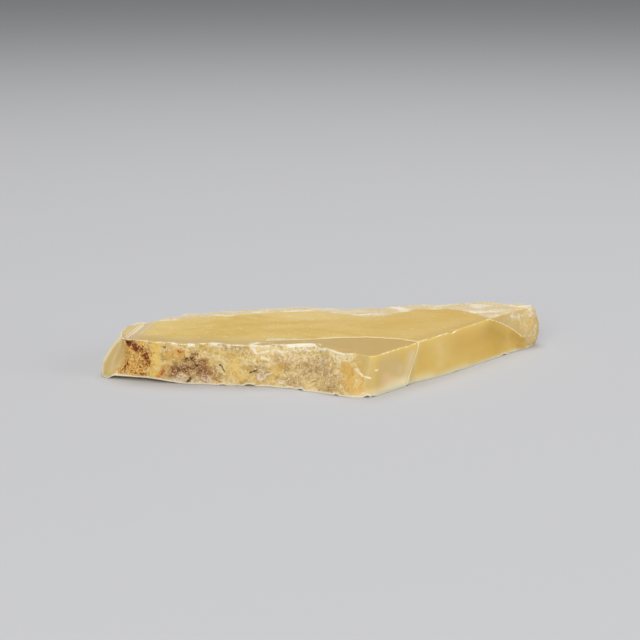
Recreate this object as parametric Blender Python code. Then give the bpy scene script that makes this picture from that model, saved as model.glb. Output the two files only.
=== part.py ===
"""Hokkaidoite slice: a sawn slab of honey opal that keeps part of its natural rind.

The slab lies on its sawn underside. Its long axis runs along X, its width along Y and its
thickness along Z. Its wall is a loft between the rim of the upper sawn face and the edge of
the underside. The origin is the middle of its footprint, on the surface that it rests on.
"""

import math

import bmesh
import bpy
from mathutils import Vector, noise
from mathutils.geometry import delaunay_2d_cdt

MM = 0.001
THICKNESS = 6.0  # between the two sawn faces; this and every size below is in millimetres

# Each station of the wall: x and y on the upper rim, x and y on the lower edge, belly (how far
# the wall stands out of the straight line halfway up) and lump (how rough the wall is there).
# The stations run anticlockwise seen from above, from the left corner along the front.
ROUGH_FRONT = [
    (-29.1, -6.9, -29.9, -7.4, -1.3, 0.10),
    (-28.2, -7.9, -28.0, -8.0, -0.2, 0.20),
    (-25.5, -8.9, -25.7, -8.6, 0.0, 0.22),
    (-22.8, -9.8, -23.5, -9.6, 0.1, 0.22),
    (-19.1, -10.7, -19.6, -10.4, 0.1, 0.24),
    (-17.6, -10.1, -17.0, -10.9, 0.2, 0.26),
    (-15.4, -10.4, -14.4, -11.4, 0.2, 0.26),
    (-13.6, -11.2, -12.6, -11.3, 0.1, 0.26),
    (-11.2, -11.4, -10.6, -11.7, 0.2, 0.26),
    (-8.6, -10.8, -7.8, -12.3, 0.3, 0.26),
    (-4.6, -10.8, -4.7, -13.3, 0.2, 0.28),
    (-2.2, -10.4, -3.0, -14.6, 0.1, 0.28),
    (-1.0, -11.3, -1.4, -15.3, 0.1, 0.28),
    (0.2, -13.1, 0.4, -16.5, 0.2, 0.26),
    (2.1, -14.8, 2.4, -17.7, 0.2, 0.24),
    (4.2, -15.9, 4.4, -18.4, 0.2, 0.16),
]
SPLIT_FRONT = [
    (6.5, -17.5, 6.7, -17.9, 0.1, 0.06),
    (8.3, -15.6, 8.7, -15.5, -0.1, 0.04),
    (10.7, -12.7, 10.6, -13.1, -0.1, 0.04),
    (13.0, -9.9, 11.7, -11.6, 0.0, 0.04),
    (13.7, -9.0, 12.4, -10.2, 0.0, 0.03),
    (17.0, -4.8, 17.1, -5.6, -0.1, 0.03),
    (21.4, 1.2, 21.7, 0.3, -0.1, 0.03),
    (24.8, 6.1, 25.2, 4.9, 0.0, 0.04),
    (28.2, 10.9, 28.6, 9.4, 0.2, 0.10),
]
RIND = [
    (31.8, 15.1, 31.7, 13.0, 0.9, 0.16),
    (31.9, 16.2, 32.2, 15.0, 0.7, 0.20),
    (30.2, 17.4, 30.6, 17.1, 0.4, 0.28),
    (27.2, 18.4, 27.6, 17.8, 0.3, 0.30),
    (24.4, 18.6, 24.7, 18.0, 0.3, 0.30),
    (21.2, 17.9, 21.4, 17.4, 0.3, 0.30),
    (19.0, 17.1, 18.6, 16.3, 0.3, 0.30),
    (15.4, 16.8, 15.0, 15.9, 0.3, 0.30),
    (12.4, 16.2, 12.1, 15.2, 0.3, 0.30),
    (9.8, 15.4, 9.9, 14.2, 0.3, 0.30),
    (6.9, 14.1, 6.5, 13.4, 0.3, 0.30),
    (3.9, 13.8, 3.9, 12.8, 0.3, 0.30),
    (0.7, 14.0, 0.9, 13.2, 0.3, 0.30),
    (-2.9, 14.8, -2.9, 13.9, 0.3, 0.30),
    (-6.5, 14.4, -6.8, 13.6, 0.3, 0.30),
    (-10.2, 13.4, -10.4, 12.3, 0.3, 0.30),
    (-14.0, 12.1, -14.2, 11.5, 0.3, 0.30),
    (-17.8, 10.8, -17.9, 10.4, 0.3, 0.30),
    (-21.4, 9.7, -21.9, 9.5, 0.3, 0.30),
    (-23.7, 7.5, -24.7, 7.9, 0.3, 0.28),
    (-25.6, 4.8, -27.1, 6.2, 0.3, 0.20),
]
CHIPPED_NOSE = [
    (-27.5, 4.7, -29.2, 4.9, 0.6, 0.08),
    (-28.9, 3.2, -30.7, 3.0, 0.7, 0.05),
    (-29.6, 1.0, -30.6, 0.8, 0.3, 0.04),
    (-29.8, -2.2, -31.4, -2.2, 0.5, 0.04),
    (-29.5, -4.8, -32.4, -5.0, 0.9, 0.03),
    (-29.3, -6.1, -31.7, -6.8, 0.1, 0.03),
]
STATIONS = ROUGH_FRONT + SPLIT_FRONT + RIND + CHIPPED_NOSE
WALL_STEP = 0.6  # between the columns of the wall
WALL_ROWS = 10
LUMP_LENGTH = 2.6  # between neighbouring lumps of the rough walls
CALM_AT_EDGES = 0.6  # share of the lumps that the rim and the lower edge lose

# The old crack: a flat arch across the upper face that closes off the front wedge. The wedge
# has dropped a little along it, and it leans towards the front corner.
CRACK = [(-8.4, -8.3), (-5.7, -8.0), (-2.0, -7.5), (1.9, -6.5), (6.0, -6.1), (10.1, -7.2), (13.3, -9.2)]
CRACK_WIDTH = 0.35
CRACK_DEPTH = 0.30
WEDGE_STEP = 0.08
WEDGE_FALL = 0.017  # millimetres down for each millimetre towards the front
CRACK_ON_WALL = ((13.2, -9.5), (12.0, -10.8))  # where the crack runs down the split face

# Two bevels broken off the left end of the upper face, each given by a line of its upper
# edge (two points) and its fall per millimetre to the left of that line.
LEFT_BEVELS = [
    ((-26.9, -5.0), (-25.2, 5.0), 0.05),
    ((-28.5, -6.8), (-26.8, 3.2), 0.16),
]

# Flakes chipped off the upper rim: x and y of each hollow's middle, its radius and its depth.
RIM_FLAKES = [
    (-24.6, -9.6, 1.2, 0.25),
    (-20.6, -11.0, 1.6, 0.40),
    (-17.6, -10.6, 1.5, 0.45),
    (-13.2, -11.8, 2.0, 0.45),
    (-9.4, -11.4, 2.5, 0.75),
    (-1.2, -11.6, 1.5, 0.45),
    (2.0, -15.4, 2.6, 1.20),
    (12.0, -11.6, 0.9, 0.15),
    (15.4, -7.4, 1.0, 0.20),
    (18.7, -2.8, 1.2, 0.25),
    (28.4, 19.0, 2.0, 0.20),
    (8.3, 15.6, 2.0, 0.20),
    (-22.8, 9.4, 1.8, 0.25),
]

# The rind keeps its natural relief on the upper face too, in a band along the back that
# ends in the whole right tip. The line is the inner edge of that band.
RIND_EDGE = [(-27.0, 2.6), (-20.0, 6.5), (-13.0, 8.6), (-7.0, 10.6), (-2.0, 11.6), (3.0, 9.4), (6.5, 7.0),
             (10.0, 9.0), (14.5, 13.2), (18.8, 13.0), (21.0, 12.0), (23.0, 9.6), (24.8, 6.2)]
RIND_RELIEF = 0.12

# The lower edge stands clear of the surface along the left of the front, where the
# underside is broken away along this line.
UNDERCUT_LINE = ((-31.0, -6.6), (-19.3, -10.3))
UNDERCUT_HEIGHT = 0.45
UNDERCUT_DEPTH = 2.2

TOP_STEP = 1.1  # between the points of the upper face
UNDER_STEP = 2.4  # and of the underside
CLEAR_OF_EDGE = 0.55  # share of the step that these points keep from an edge or a line

HONEY = (0.62, 0.43, 0.16, 1.0)
SATIN = 0.42


def spread(points, step):
    """Points along an open line, one every step at most."""
    result = [Vector(points[0])]
    for start, end in zip(points, points[1:]):
        start, end = Vector(start), Vector(end)
        count = max(1, math.ceil((end - start).length / step))
        result += [start.lerp(end, i / count) for i in range(1, count + 1)]
    return result


def height_on_line(line, x):
    """The y of a line that runs left to right, at x; its ends carry on level."""
    if x <= line[0][0]:
        return line[0][1]
    for (x0, y0), (x1, y1) in zip(line, line[1:]):
        if x <= x1:
            return y0 + (y1 - y0) * (x - x0) / (x1 - x0)
    return line[-1][1]


def ease(value):
    value = min(1.0, max(0.0, value))
    return value * value * (3.0 - 2.0 * value)


def lump(x, y, z, length):
    return noise.noise(Vector((x, y, z)) / length)


def left_of(line_start, line_end, x, y):
    """Distance to the left of a line that runs from front to back."""
    along = (Vector(line_end) - Vector(line_start)).normalized()
    across = Vector((x, y)) - Vector(line_start)
    return along.x * across.y - along.y * across.x


def top_height(x, y):
    """Height of the upper face: flat as sawn, less the bevels, the flakes and the wedge's drop."""
    z = THICKNESS
    for start, end, fall in LEFT_BEVELS:
        z = min(z, THICKNESS - fall * left_of(start, end, x, y))
    ahead = height_on_line(CRACK, x) - y
    if CRACK[0][0] - 0.6 < x < CRACK[-1][0] + 0.1:
        if ahead > 0:
            z = min(z, THICKNESS - WEDGE_STEP - WEDGE_FALL * ahead)
        z -= CRACK_DEPTH * max(0.0, 1.0 - abs(ahead) / CRACK_WIDTH)
    for flake_x, flake_y, radius, depth in RIM_FLAKES:
        away = math.hypot(x - flake_x, y - flake_y) / radius
        z -= depth * max(0.0, 1.0 - away * away)
    inside_rind = ease((y - height_on_line(RIND_EDGE, x)) / 1.5 + 0.5)
    if x > RIND_EDGE[-1][0]:
        inside_rind = 1.0
    return z + RIND_RELIEF * inside_rind * (lump(x, y, 3.0, 1.9) - 0.5)


def bottom_height(x, y):
    """Height of the underside: flat on the surface, but broken away at the left of the front."""
    start, end = Vector(UNDERCUT_LINE[0]), Vector(UNDERCUT_LINE[1])
    along = end - start
    place = (Vector((x, y)) - start).dot(along) / along.length_squared
    inward = left_of(start, end, x, y)
    strength = ease((1.0 - place) * 2.0) * ease((place + 0.02) * 12.0)
    return UNDERCUT_HEIGHT * strength * (1.0 - ease(inward / UNDERCUT_DEPTH))


def curve_through(values, t):
    """Catmull-Rom value between the middle two of four tuples."""
    a, b, c, d = values
    return [
        0.5 * (2 * q + (r - p) * t + (2 * p - 5 * q + 4 * r - s) * t * t + (3 * q - p - 3 * r + s) * t ** 3)
        for p, q, r, s in zip(a, b, c, d)
    ]


def wall_columns():
    """The stations joined by a smooth closed curve, with a column every WALL_STEP at most."""
    columns = []
    count = len(STATIONS)
    for i, station in enumerate(STATIONS):
        near = [STATIONS[(i + k) % count] for k in (-1, 0, 1, 2)]
        length = math.hypot(near[2][0] - station[0], near[2][1] - station[1])
        pieces = max(1, round(length / WALL_STEP))
        columns += [curve_through(near, k / pieces) for k in range(pieces)]
    return columns


def outward_directions(columns):
    """Level unit vectors that point out of the wall at each column."""
    result = []
    for i in range(len(columns)):
        before, after = columns[i - 1], columns[(i + 1) % len(columns)]
        along = Vector((after[0] - before[0] + after[2] - before[2], after[1] - before[1] + after[3] - before[3]))
        result.append(Vector((along.y, -along.x)).normalized())
    return result


def wall_point(column, outward, share):
    """A point of the wall, at a share of the way up from the lower edge to the rim."""
    top_x, top_y, bottom_x, bottom_y, belly, rough = column
    x = bottom_x + (top_x - bottom_x) * share
    y = bottom_y + (top_y - bottom_y) * share
    z = THICKNESS * share
    middle = 4.0 * share * (1.0 - share)
    calm = 1.0 - CALM_AT_EDGES * (1.0 - middle)
    swell = belly * middle
    swell += calm * rough * 1.4 * lump(x, y, z, LUMP_LENGTH)
    swell += calm * rough * 0.8 * lump(x, y, z, LUMP_LENGTH * 0.4)
    crack = Vector(CRACK_ON_WALL[1]).lerp(Vector(CRACK_ON_WALL[0]), share)
    swell -= CRACK_DEPTH * max(0.0, 1.0 - (Vector((x, y)) - crack).length / (2 * CRACK_WIDTH))
    return Vector((x + outward.x * swell, y + outward.y * swell, z))


def make_wall(mesh):
    """Rows of vertices from the lower edge to the rim, joined by quads."""
    columns = wall_columns()
    outwards = outward_directions(columns)
    rows = []
    for level in range(WALL_ROWS + 1):
        share = level / WALL_ROWS
        row = [wall_point(c, o, share) for c, o in zip(columns, outwards)]
        rows.append(row)
    for lower, upper in zip(rows[0], rows[-1]):
        lower.z = bottom_height(lower.x, lower.y)
        upper.z = top_height(upper.x, upper.y)
    for i, row in enumerate(rows[1:-1], start=1):
        for lower, point, upper in zip(rows[0], row, rows[-1]):
            point.z = lower.z + (upper.z - lower.z) * i / WALL_ROWS
    made = [[mesh.verts.new(point * MM) for point in row] for row in rows]
    for lower, upper in zip(made, made[1:]):
        for i in range(len(lower)):
            j = (i + 1) % len(lower)
            mesh.faces.new((lower[i], lower[j], upper[j], upper[i]))
    return made[0], made[-1]


def lines_on_top():
    """Rows of points that keep the crack and the bevels crisp on the upper face."""
    points = []
    for shift in (-CRACK_WIDTH, 0.0, CRACK_WIDTH):
        points += [p + Vector((0.0, shift)) for p in spread(CRACK, TOP_STEP * 0.6)]
    for start, end, _ in LEFT_BEVELS:
        points += spread([start, end], TOP_STEP * 0.6)
    return points


def grid_points(rim, step):
    """A triangular grid over the box of the rim."""
    rise = step * math.sqrt(3) / 2
    low_x, high_x = min(p.x for p in rim), max(p.x for p in rim)
    low_y, high_y = min(p.y for p in rim), max(p.y for p in rim)
    points = []
    for row in range(int((high_y - low_y) / rise) + 1):
        start = low_x + step * 0.5 * (row % 2)
        for column in range(int((high_x - start) / step) + 1):
            points.append(Vector((start + column * step, low_y + row * rise)))
    return points


def is_inside(point, rim):
    inside = False
    for a, b in zip(rim, rim[1:] + rim[:1]):
        if (a.y > point.y) != (b.y > point.y):
            if point.x < a.x + (b.x - a.x) * (point.y - a.y) / (b.y - a.y):
                inside = not inside
    return inside


def clear_of(point, others, gap):
    return all((point - other).length > gap for other in others)


def fill_face(mesh, edge, height, step, line_points, upward):
    """Covers the inside of a closed row of vertices with triangles that follow a height."""
    rim = [v.co.xy / MM for v in edge]
    gap = step * CLEAR_OF_EDGE
    lines = [p for p in line_points if is_inside(p, rim) and clear_of(p, rim, gap * 0.6)]
    fixed = rim + lines
    inner = [p for p in grid_points(rim, step) if is_inside(p, rim) and clear_of(p, fixed, gap)]
    flat = fixed + inner
    points, _, triangles, sources, _, _ = delaunay_2d_cdt(flat, [], [list(range(len(rim)))], 1, 1e-6)
    verts = []
    for point, source in zip(points, sources):
        if source and source[0] < len(rim):
            verts.append(edge[source[0]])
        else:
            verts.append(mesh.verts.new(Vector((point.x, point.y, height(point.x, point.y))) * MM))
    for triangle in triangles:
        corners = [verts[i] for i in triangle]
        mesh.faces.new(corners if upward else corners[::-1])


def centre_on_footprint(mesh):
    """Moves the origin to the middle of the footprint, on the surface below."""
    low = [min(v.co[i] for v in mesh.verts) for i in range(3)]
    high = [max(v.co[i] for v in mesh.verts) for i in range(3)]
    middle = Vector(((low[0] + high[0]) / 2, (low[1] + high[1]) / 2, low[2]))
    bmesh.ops.translate(mesh, vec=-middle, verts=mesh.verts)


def honey_material():
    material = bpy.data.materials.new("honey_opal")
    material.use_nodes = True
    shader = material.node_tree.nodes["Principled BSDF"]
    shader.inputs["Base Color"].default_value = HONEY
    shader.inputs["Roughness"].default_value = SATIN
    shader.inputs["Metallic"].default_value = 0.0
    return material


def make_slice():
    mesh = bmesh.new()
    lower_edge, rim = make_wall(mesh)
    fill_face(mesh, rim, top_height, TOP_STEP, lines_on_top(), upward=True)
    fill_face(mesh, lower_edge, bottom_height, UNDER_STEP, [], upward=False)
    centre_on_footprint(mesh)
    bmesh.ops.triangulate(mesh, faces=mesh.faces)
    bmesh.ops.recalc_face_normals(mesh, faces=mesh.faces)
    data = bpy.data.meshes.new("hokkaidoite_slice")
    mesh.to_mesh(data)
    mesh.free()
    data.materials.append(honey_material())
    data.shade_smooth()
    data.set_sharp_from_angle(angle=math.radians(35))
    slab = bpy.data.objects.new("hokkaidoite_slice", data)
    bpy.context.scene.collection.objects.link(slab)


for old in list(bpy.data.objects):
    bpy.data.objects.remove(old)
make_slice()
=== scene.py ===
import math

import bmesh
import bpy
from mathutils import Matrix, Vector, kdtree, noise
from mathutils.geometry import delaunay_2d_cdt


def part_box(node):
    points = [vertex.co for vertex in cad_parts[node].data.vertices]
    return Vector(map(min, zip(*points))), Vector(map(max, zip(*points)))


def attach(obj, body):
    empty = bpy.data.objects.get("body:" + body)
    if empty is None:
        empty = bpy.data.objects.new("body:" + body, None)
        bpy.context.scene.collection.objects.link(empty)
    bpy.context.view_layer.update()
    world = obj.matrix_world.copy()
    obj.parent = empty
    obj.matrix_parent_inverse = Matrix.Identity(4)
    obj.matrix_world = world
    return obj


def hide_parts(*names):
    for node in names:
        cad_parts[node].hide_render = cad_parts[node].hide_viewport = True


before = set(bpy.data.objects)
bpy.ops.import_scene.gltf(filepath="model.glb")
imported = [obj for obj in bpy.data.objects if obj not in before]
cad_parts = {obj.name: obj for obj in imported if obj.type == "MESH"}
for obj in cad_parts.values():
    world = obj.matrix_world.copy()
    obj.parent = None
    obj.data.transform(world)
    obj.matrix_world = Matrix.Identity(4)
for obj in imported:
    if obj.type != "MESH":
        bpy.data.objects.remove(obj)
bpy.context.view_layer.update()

NODE = "hokkaidoite_slice"
MM = 0.001
NOISE_SEED = 7
noise.seed_set(NOISE_SEED)  # noise_vector would differ from run to run without it

# ---------------------------------------------------------------- the slab's shape, in millimetres

THICKNESS = 6.0
# Wall stations, anticlockwise from the left corner along the front: x and y on the upper rim,
# x and y on the lower edge, belly (how far the wall stands out halfway up) and lump (roughness).
ROUGH_FRONT = [
    (-29.1, -6.9, -29.9, -7.4, -0.8, 0.10),
    (-28.2, -7.9, -28.0, -8.0, -0.2, 0.20),
    (-25.5, -8.9, -25.7, -8.6, 0.0, 0.22),
    (-22.8, -9.8, -23.5, -9.6, 0.1, 0.22),
    (-19.1, -10.7, -19.6, -10.4, 0.1, 0.24),
    (-17.6, -10.1, -17.0, -10.9, 0.2, 0.26),
    (-15.4, -10.4, -14.4, -11.4, 0.2, 0.26),
    (-13.6, -11.2, -12.6, -11.3, 0.1, 0.26),
    (-11.2, -11.4, -10.6, -11.7, 0.2, 0.26),
    (-8.6, -10.8, -7.8, -12.3, 0.3, 0.26),
    (-4.6, -10.8, -4.7, -13.3, 0.2, 0.28),
    (-2.2, -10.4, -3.0, -14.6, 0.1, 0.28),
    (-1.0, -11.3, -1.4, -15.3, 0.1, 0.28),
    (0.2, -13.1, 0.4, -16.5, 0.2, 0.26),
    (2.1, -14.8, 2.4, -17.7, 0.2, 0.24),
    (4.2, -15.9, 4.4, -18.4, 0.2, 0.16),
]
SPLIT_FRONT = [
    (6.5, -17.5, 6.7, -17.9, 0.1, 0.06),
    (8.3, -15.6, 8.7, -15.5, -0.1, 0.04),
    (10.7, -12.7, 10.6, -13.1, -0.1, 0.04),
    (13.0, -9.9, 11.7, -11.6, 0.0, 0.04),
    (13.7, -9.0, 12.4, -10.2, 0.0, 0.03),
    (17.0, -4.8, 17.1, -5.6, -0.1, 0.03),
    (21.4, 1.2, 21.7, 0.3, -0.1, 0.03),
    (24.8, 6.1, 25.2, 4.9, 0.0, 0.04),
    (28.2, 10.9, 28.6, 9.4, 0.2, 0.10),
]
RIND = [
    (31.8, 15.1, 31.7, 13.0, 0.9, 0.16),
    (31.9, 16.2, 32.2, 15.0, 0.7, 0.20),
    (30.2, 17.4, 30.6, 17.1, 0.4, 0.28),
    (27.2, 18.4, 27.6, 17.8, 0.3, 0.30),
    (24.4, 18.6, 24.7, 18.0, 0.3, 0.30),
    (21.2, 17.9, 21.4, 17.4, 0.3, 0.30),
    (19.0, 17.1, 18.6, 16.3, 0.3, 0.30),
    (15.4, 16.8, 15.0, 15.9, 0.3, 0.30),
    (12.4, 16.2, 12.1, 15.2, 0.3, 0.30),
    (9.8, 15.4, 9.9, 14.2, 0.3, 0.30),
    (6.9, 14.1, 6.5, 13.4, 0.3, 0.30),
    (3.9, 13.8, 3.9, 12.8, 0.3, 0.30),
    (0.7, 14.0, 0.9, 13.2, 0.3, 0.30),
    (-2.9, 14.8, -2.9, 13.9, 0.3, 0.30),
    (-6.5, 14.4, -6.8, 13.6, 0.3, 0.30),
    (-10.2, 13.4, -10.4, 12.3, 0.3, 0.30),
    (-14.0, 12.1, -14.2, 11.5, 0.3, 0.30),
    (-17.8, 10.8, -17.9, 10.4, 0.3, 0.30),
    (-21.4, 9.7, -21.9, 9.5, 0.3, 0.30),
    (-23.7, 7.5, -24.7, 7.9, 0.3, 0.28),
    (-25.6, 4.8, -27.1, 6.2, 0.3, 0.20),
]
CHIPPED_NOSE = [
    (-27.5, 4.7, -29.2, 4.9, 0.6, 0.08),
    (-28.9, 3.2, -30.7, 3.0, 0.7, 0.05),
    (-29.6, 1.0, -30.6, 0.8, 0.3, 0.04),
    (-29.8, -2.2, -31.4, -2.2, 0.5, 0.04),
    (-29.5, -4.8, -32.4, -5.0, 0.9, 0.03),
    (-29.3, -6.1, -31.7, -6.8, 0.1, 0.03),
]
STATIONS = ROUGH_FRONT + SPLIT_FRONT + RIND + CHIPPED_NOSE
LUMP_LENGTH = 2.6  # of the largest lumps on the wall
CALM_AT_EDGES = 0.6  # share of their height that they lose towards the edges

# The crack across the upper face, which parts the sunken wedge in front from the rest.
CRACK = [(-8.4, -8.3), (-5.7, -8.0), (-2.0, -7.5), (1.9, -6.5), (6.0, -6.1), (10.1, -7.2), (13.3, -9.2)]
CRACK_WIDTH = 0.16  # from the middle of its groove to each side
CRACK_DEPTH = 0.09
WEDGE_STEP = 0.08  # drop from the crack to the wedge
WEDGE_FALL = 0.017  # how steeply the wedge sinks towards the front
WEDGE_PAST_CRACK = (0.6, 0.1)  # how far it reaches past the crack's left and right end
# The crack down the split face: height and x.
CRACK_ON_WALL = [
    (0.0, 11.55), (0.9, 11.75), (1.9, 12.1), (3.0, 12.5), (4.0, 12.9), (5.2, 13.25), (6.0, 13.25),
]
CRACK_SLANT = 1.32  # distance on the split face for each millimetre of x

# Bevels of the left end: the front and back end of the crease, and how steeply the face falls.
LEFT_BEVELS = [
    ((-26.9, -5.0), (-25.2, 5.0), 0.05),
    ((-28.5, -6.8), (-26.8, 3.2), 0.16),
]

# Flakes out of the rim: x, y, radius and depth.
RIM_FLAKES = [
    (-24.6, -9.6, 1.2, 0.12),
    (-20.6, -11.0, 1.6, 0.15),
    (-17.6, -10.6, 1.5, 0.18),
    (-13.2, -11.8, 2.0, 0.10),
    (-9.4, -11.4, 2.5, 0.22),
    (-1.2, -11.6, 1.5, 0.35),
    (2.2, -15.0, 2.0, 0.30),
    (12.0, -11.6, 0.9, 0.15),
    (15.4, -7.4, 1.0, 0.20),
    (18.7, -2.8, 1.2, 0.25),
    (28.4, 19.0, 2.0, 0.20),
    (8.3, 15.6, 2.0, 0.20),
    (-22.8, 9.4, 1.8, 0.25),
]

# Chips out of the lower edge: x, y, radius and depth.
LOWER_CHIPS = [
    (5.8, -18.4, 0.55, 0.34),
    (6.8, -18.1, 0.45, 0.26),
    (-10.8, -12.0, 0.90, 0.30),
    (11.9, -11.7, 0.45, 0.24),
    (-3.6, -14.2, 0.60, 0.20),
    (1.4, -17.2, 0.50, 0.18),
    (-14.6, -11.6, 0.70, 0.16),
    (19.4, -3.0, 0.60, 0.14),
    (27.2, 7.4, 0.80, 0.16),
    (30.4, 17.4, 1.10, 0.30),
    (16.6, 16.4, 1.40, 0.35),
    (-1.2, 13.8, 1.20, 0.30),
    (-12.6, 12.0, 1.30, 0.35),
    (-23.4, 8.9, 1.10, 0.30),
    (-31.0, 1.6, 0.80, 0.20),
]

# The rind's ragged edge on the upper face, and how gently it sets in there and along the arc.
RIND_EDGE = [
    (-27.0, 2.6), (-20.0, 6.5), (-13.0, 8.6), (-7.0, 10.6), (-2.0, 11.6), (3.0, 9.4), (6.5, 7.0),
    (10.0, 9.0), (14.6, 13.4),
]
RIND_FADE = 0.7
ARC_FADE = 0.25
RIND_RELIEF = 0.12
# The rind's edge down the split face: height and x.
RIND_ON_WALL = [(0.0, 30.9), (1.2, 30.6), (2.4, 29.9), (3.8, 28.2), (5.0, 26.4), (6.0, 24.6)]
RIND_SLANT = 0.63  # distance on the split face for each millimetre of x
UNDER_RIND_SHIFT = 0.9  # how much further out the rind's edge lies on the underside

# Where the clean nose ends and the rough front starts: height and x.
NOSE_ON_WALL = [
    (0.0, -30.8), (1.0, -30.2), (1.6, -29.5), (2.4, -28.9), (3.4, -28.9), (4.4, -29.0), (6.0, -29.2),
]

# Where the underside is broken away at the left of the front, how high and how far in.
UNDERCUT_LINE = ((-31.0, -6.6), (-19.3, -10.3))
UNDERCUT_HEIGHT = 0.45
UNDERCUT_DEPTH = 2.2

# ---------------------------------------------------------------- the finer surface

# Spacing of the wall's columns on the rough front, the split face, the rind and the nose.
COLUMN_STEPS = (0.115, 0.24, 0.17, 0.17)
WALL_ROWS = 40
ARRIS_ROWS = 3  # rows round each frosted edge
ARRIS = 0.045  # least width of a frosted edge
ARRIS_CHIPS = 0.13  # how much wider its chips are
LEDGE = (-7.6, -0.7)  # where the rim is a broken ledge, from left to right
LEDGE_WIDTH = 0.28
LEDGE_FADE = 1.9  # how far in from its right end it has its full width
LEDGE_FROST = 1.25
FINE_STEP = 0.23  # between points of a sawn face close to its edge
NEAR_EDGE = 2.0  # how far in that spacing reaches
FINE_UNDER_STEP = 0.40
LINE_WIDTH = 0.12  # half width of a pale line on the upper face
# How frosted the edges are, each with a value for the upper and the lower edge: anywhere, how
# much more on the rough front and on the nose, at most, and how much wider on the rough front.
UPPER, LOWER = 0, 1
# the lower edge's strong frost is partly real frost and partly painted glow of light through the stone
FROST_ANYWHERE = (0.28, 1.20)
FROST_ON_ROUGH = (0.30, 0.0)
FROST_ON_NOSE = (0.52, 0.0)
FROST_MOST = (1.0, 1.35)
WIDER_ON_ROUGH = (0.5, 1.0)
LESS_FROST_ON_RIND = 0.5
WIDER_ON_RIND = 3.0
LOWER_GLOW = 0.36  # height of the pale line above the lower edge: frost with painted glow
UPPER_GLOW = 0.12  # and of the one below the rim
STROKE_RELIEF = 0.05  # how far a pale thread stands out
CRACK_CUT = 1.6  # how much deeper a dark crack is cut than a thread stands out
QUIET_EDGE = 0.5  # how far from the edges the relief has its full depth
THREAD_LENGTH = 0.62
THREAD_RELIEF = 0.085
BLOW = (-28.6, -7.0, 6.4)  # where the nose was struck off
FACET_LENGTH = 1.9
FACET_TILT = 0.16
KNOB_LENGTH = 1.35
KNOB_RELIEF = 0.16
PIT_LENGTH = 1.15
PIT_RADIUS = 0.30
PIT_DEPTH = 0.14

# The arc that bounds the rind's tip on the upper face.
ARC = [(14.6, 13.4), (16.5, 12.7), (18.8, 13.3), (21.2, 11.8), (22.9, 9.6), (24.5, 7.0)]
# Pale lines of the upper face: strength and points.
TOP_LINES = [
    (1.0, CRACK),
    (0.8, ARC),
    (2.0, list(LEFT_BEVELS[1][:2])),
    (1.3, [(-28.8, -5.9), (-28.2, -2.4), (-27.6, 1.0), (-27.3, 2.6)]),
    (0.8, [(-29.0, -4.2), (-28.6, -1.2)]),
    (1.1, [(-27.8, -4.6), (-27.3, -1.6), (-26.75, 1.6)]),
    (0.5, [(-28.45, -0.6), (-28.1, 1.6), (-27.8, 2.6)]),
    (0.45, [(-26.9, -2.0), (-26.3, 0.6), (-26.0, 2.4)]),
    (0.6, list(LEFT_BEVELS[0][:2])),
    (0.35, [(-27.2, -4.4), (-26.2, -2.4)]),
    (0.8, [(-8.4, -7.6), (-6.9, -7.45), (-5.6, -7.3)]),
    (0.6, [(-4.6, -7.2), (-4.0, -7.15)]),
    (0.5, [(17.3, 0.7), (18.2, -0.9), (18.7, -1.8)]),
    (0.4, [(14.7, -5.4), (14.8, -4.7)]),
    (0.4, [(-19.6, -5.2), (-18.4, -4.9)]),
    (0.35, [(-12.8, -2.8), (-11.9, -2.9)]),
    (0.4, [(-6.2, 1.8), (-5.6, 2.6), (-4.4, 2.9)]),
    (0.35, [(3.4, -2.2), (4.6, -1.6)]),
    (0.4, [(10.2, 3.0), (11.0, 2.8)]),
    (0.35, [(-15.8, 4.4), (-14.2, 4.9)]),
    (0.3, [(19.4, 8.8), (20.4, 7.9)]),
]

# Flake scars on the rough front: x, height, half width, half height and depth.
SCARS = [
    (-26.9, 4.6, 0.5, 0.45, 0.16), (-23.5, 1.5, 0.6, 0.5, 0.10), (-19.4, 0.5, 0.35, 0.5, 0.30),
    (-18.9, 4.1, 1.0, 0.4, 0.16), (-15.0, 2.5, 0.5, 0.6, 0.14), (-12.4, 4.6, 1.5, 1.0, 0.16),
    (-8.8, 4.5, 1.0, 0.5, 0.18), (-9.0, 1.6, 0.7, 0.6, 0.20), (-6.4, 2.9, 0.9, 0.7, 0.15),
    (-5.8, 1.0, 1.0, 0.45, 0.14), (-20.6, 4.7, 0.7, 0.6, 0.12), (3.3, 3.0, 1.3, 1.2, 0.16),
    (4.9, 3.2, 0.7, 0.5, 0.10), (-16.2, 1.0, 0.9, 0.6, 0.15), (-21.4, 2.2, 0.9, 0.7, 0.13),
]


def spread(points, step):
    """Points along an open line, one every step at most."""
    result = [Vector(points[0])]
    for start, end in zip(points, points[1:]):
        start, end = Vector(start), Vector(end)
        count = max(1, math.ceil((end - start).length / step))
        result += [start.lerp(end, i / count) for i in range(1, count + 1)]
    return result


def height_on_line(line, x):
    """The y of a line that runs left to right, at x; its ends carry on level."""
    if x <= line[0][0]:
        return line[0][1]
    for (x0, y0), (x1, y1) in zip(line, line[1:]):
        if x <= x1:
            return y0 + (y1 - y0) * (x - x0) / (x1 - x0)
    return line[-1][1]


def ease(value):
    """0 below 0 and 1 above 1, with a smooth rise between them."""
    value = min(1.0, max(0.0, value))
    return value * value * (3.0 - 2.0 * value)


def lump(x, y, z, length):
    """Noise from -1 to 1 at a place, with features about as long as length."""
    return noise.noise(Vector((x, y, z)) / length)


def left_of(line_start, line_end, x, y):
    """Distance to the left of a line that runs from front to back."""
    along = (Vector(line_end) - Vector(line_start)).normalized()
    across = Vector((x, y)) - Vector(line_start)
    return along.x * across.y - along.y * across.x


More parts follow.
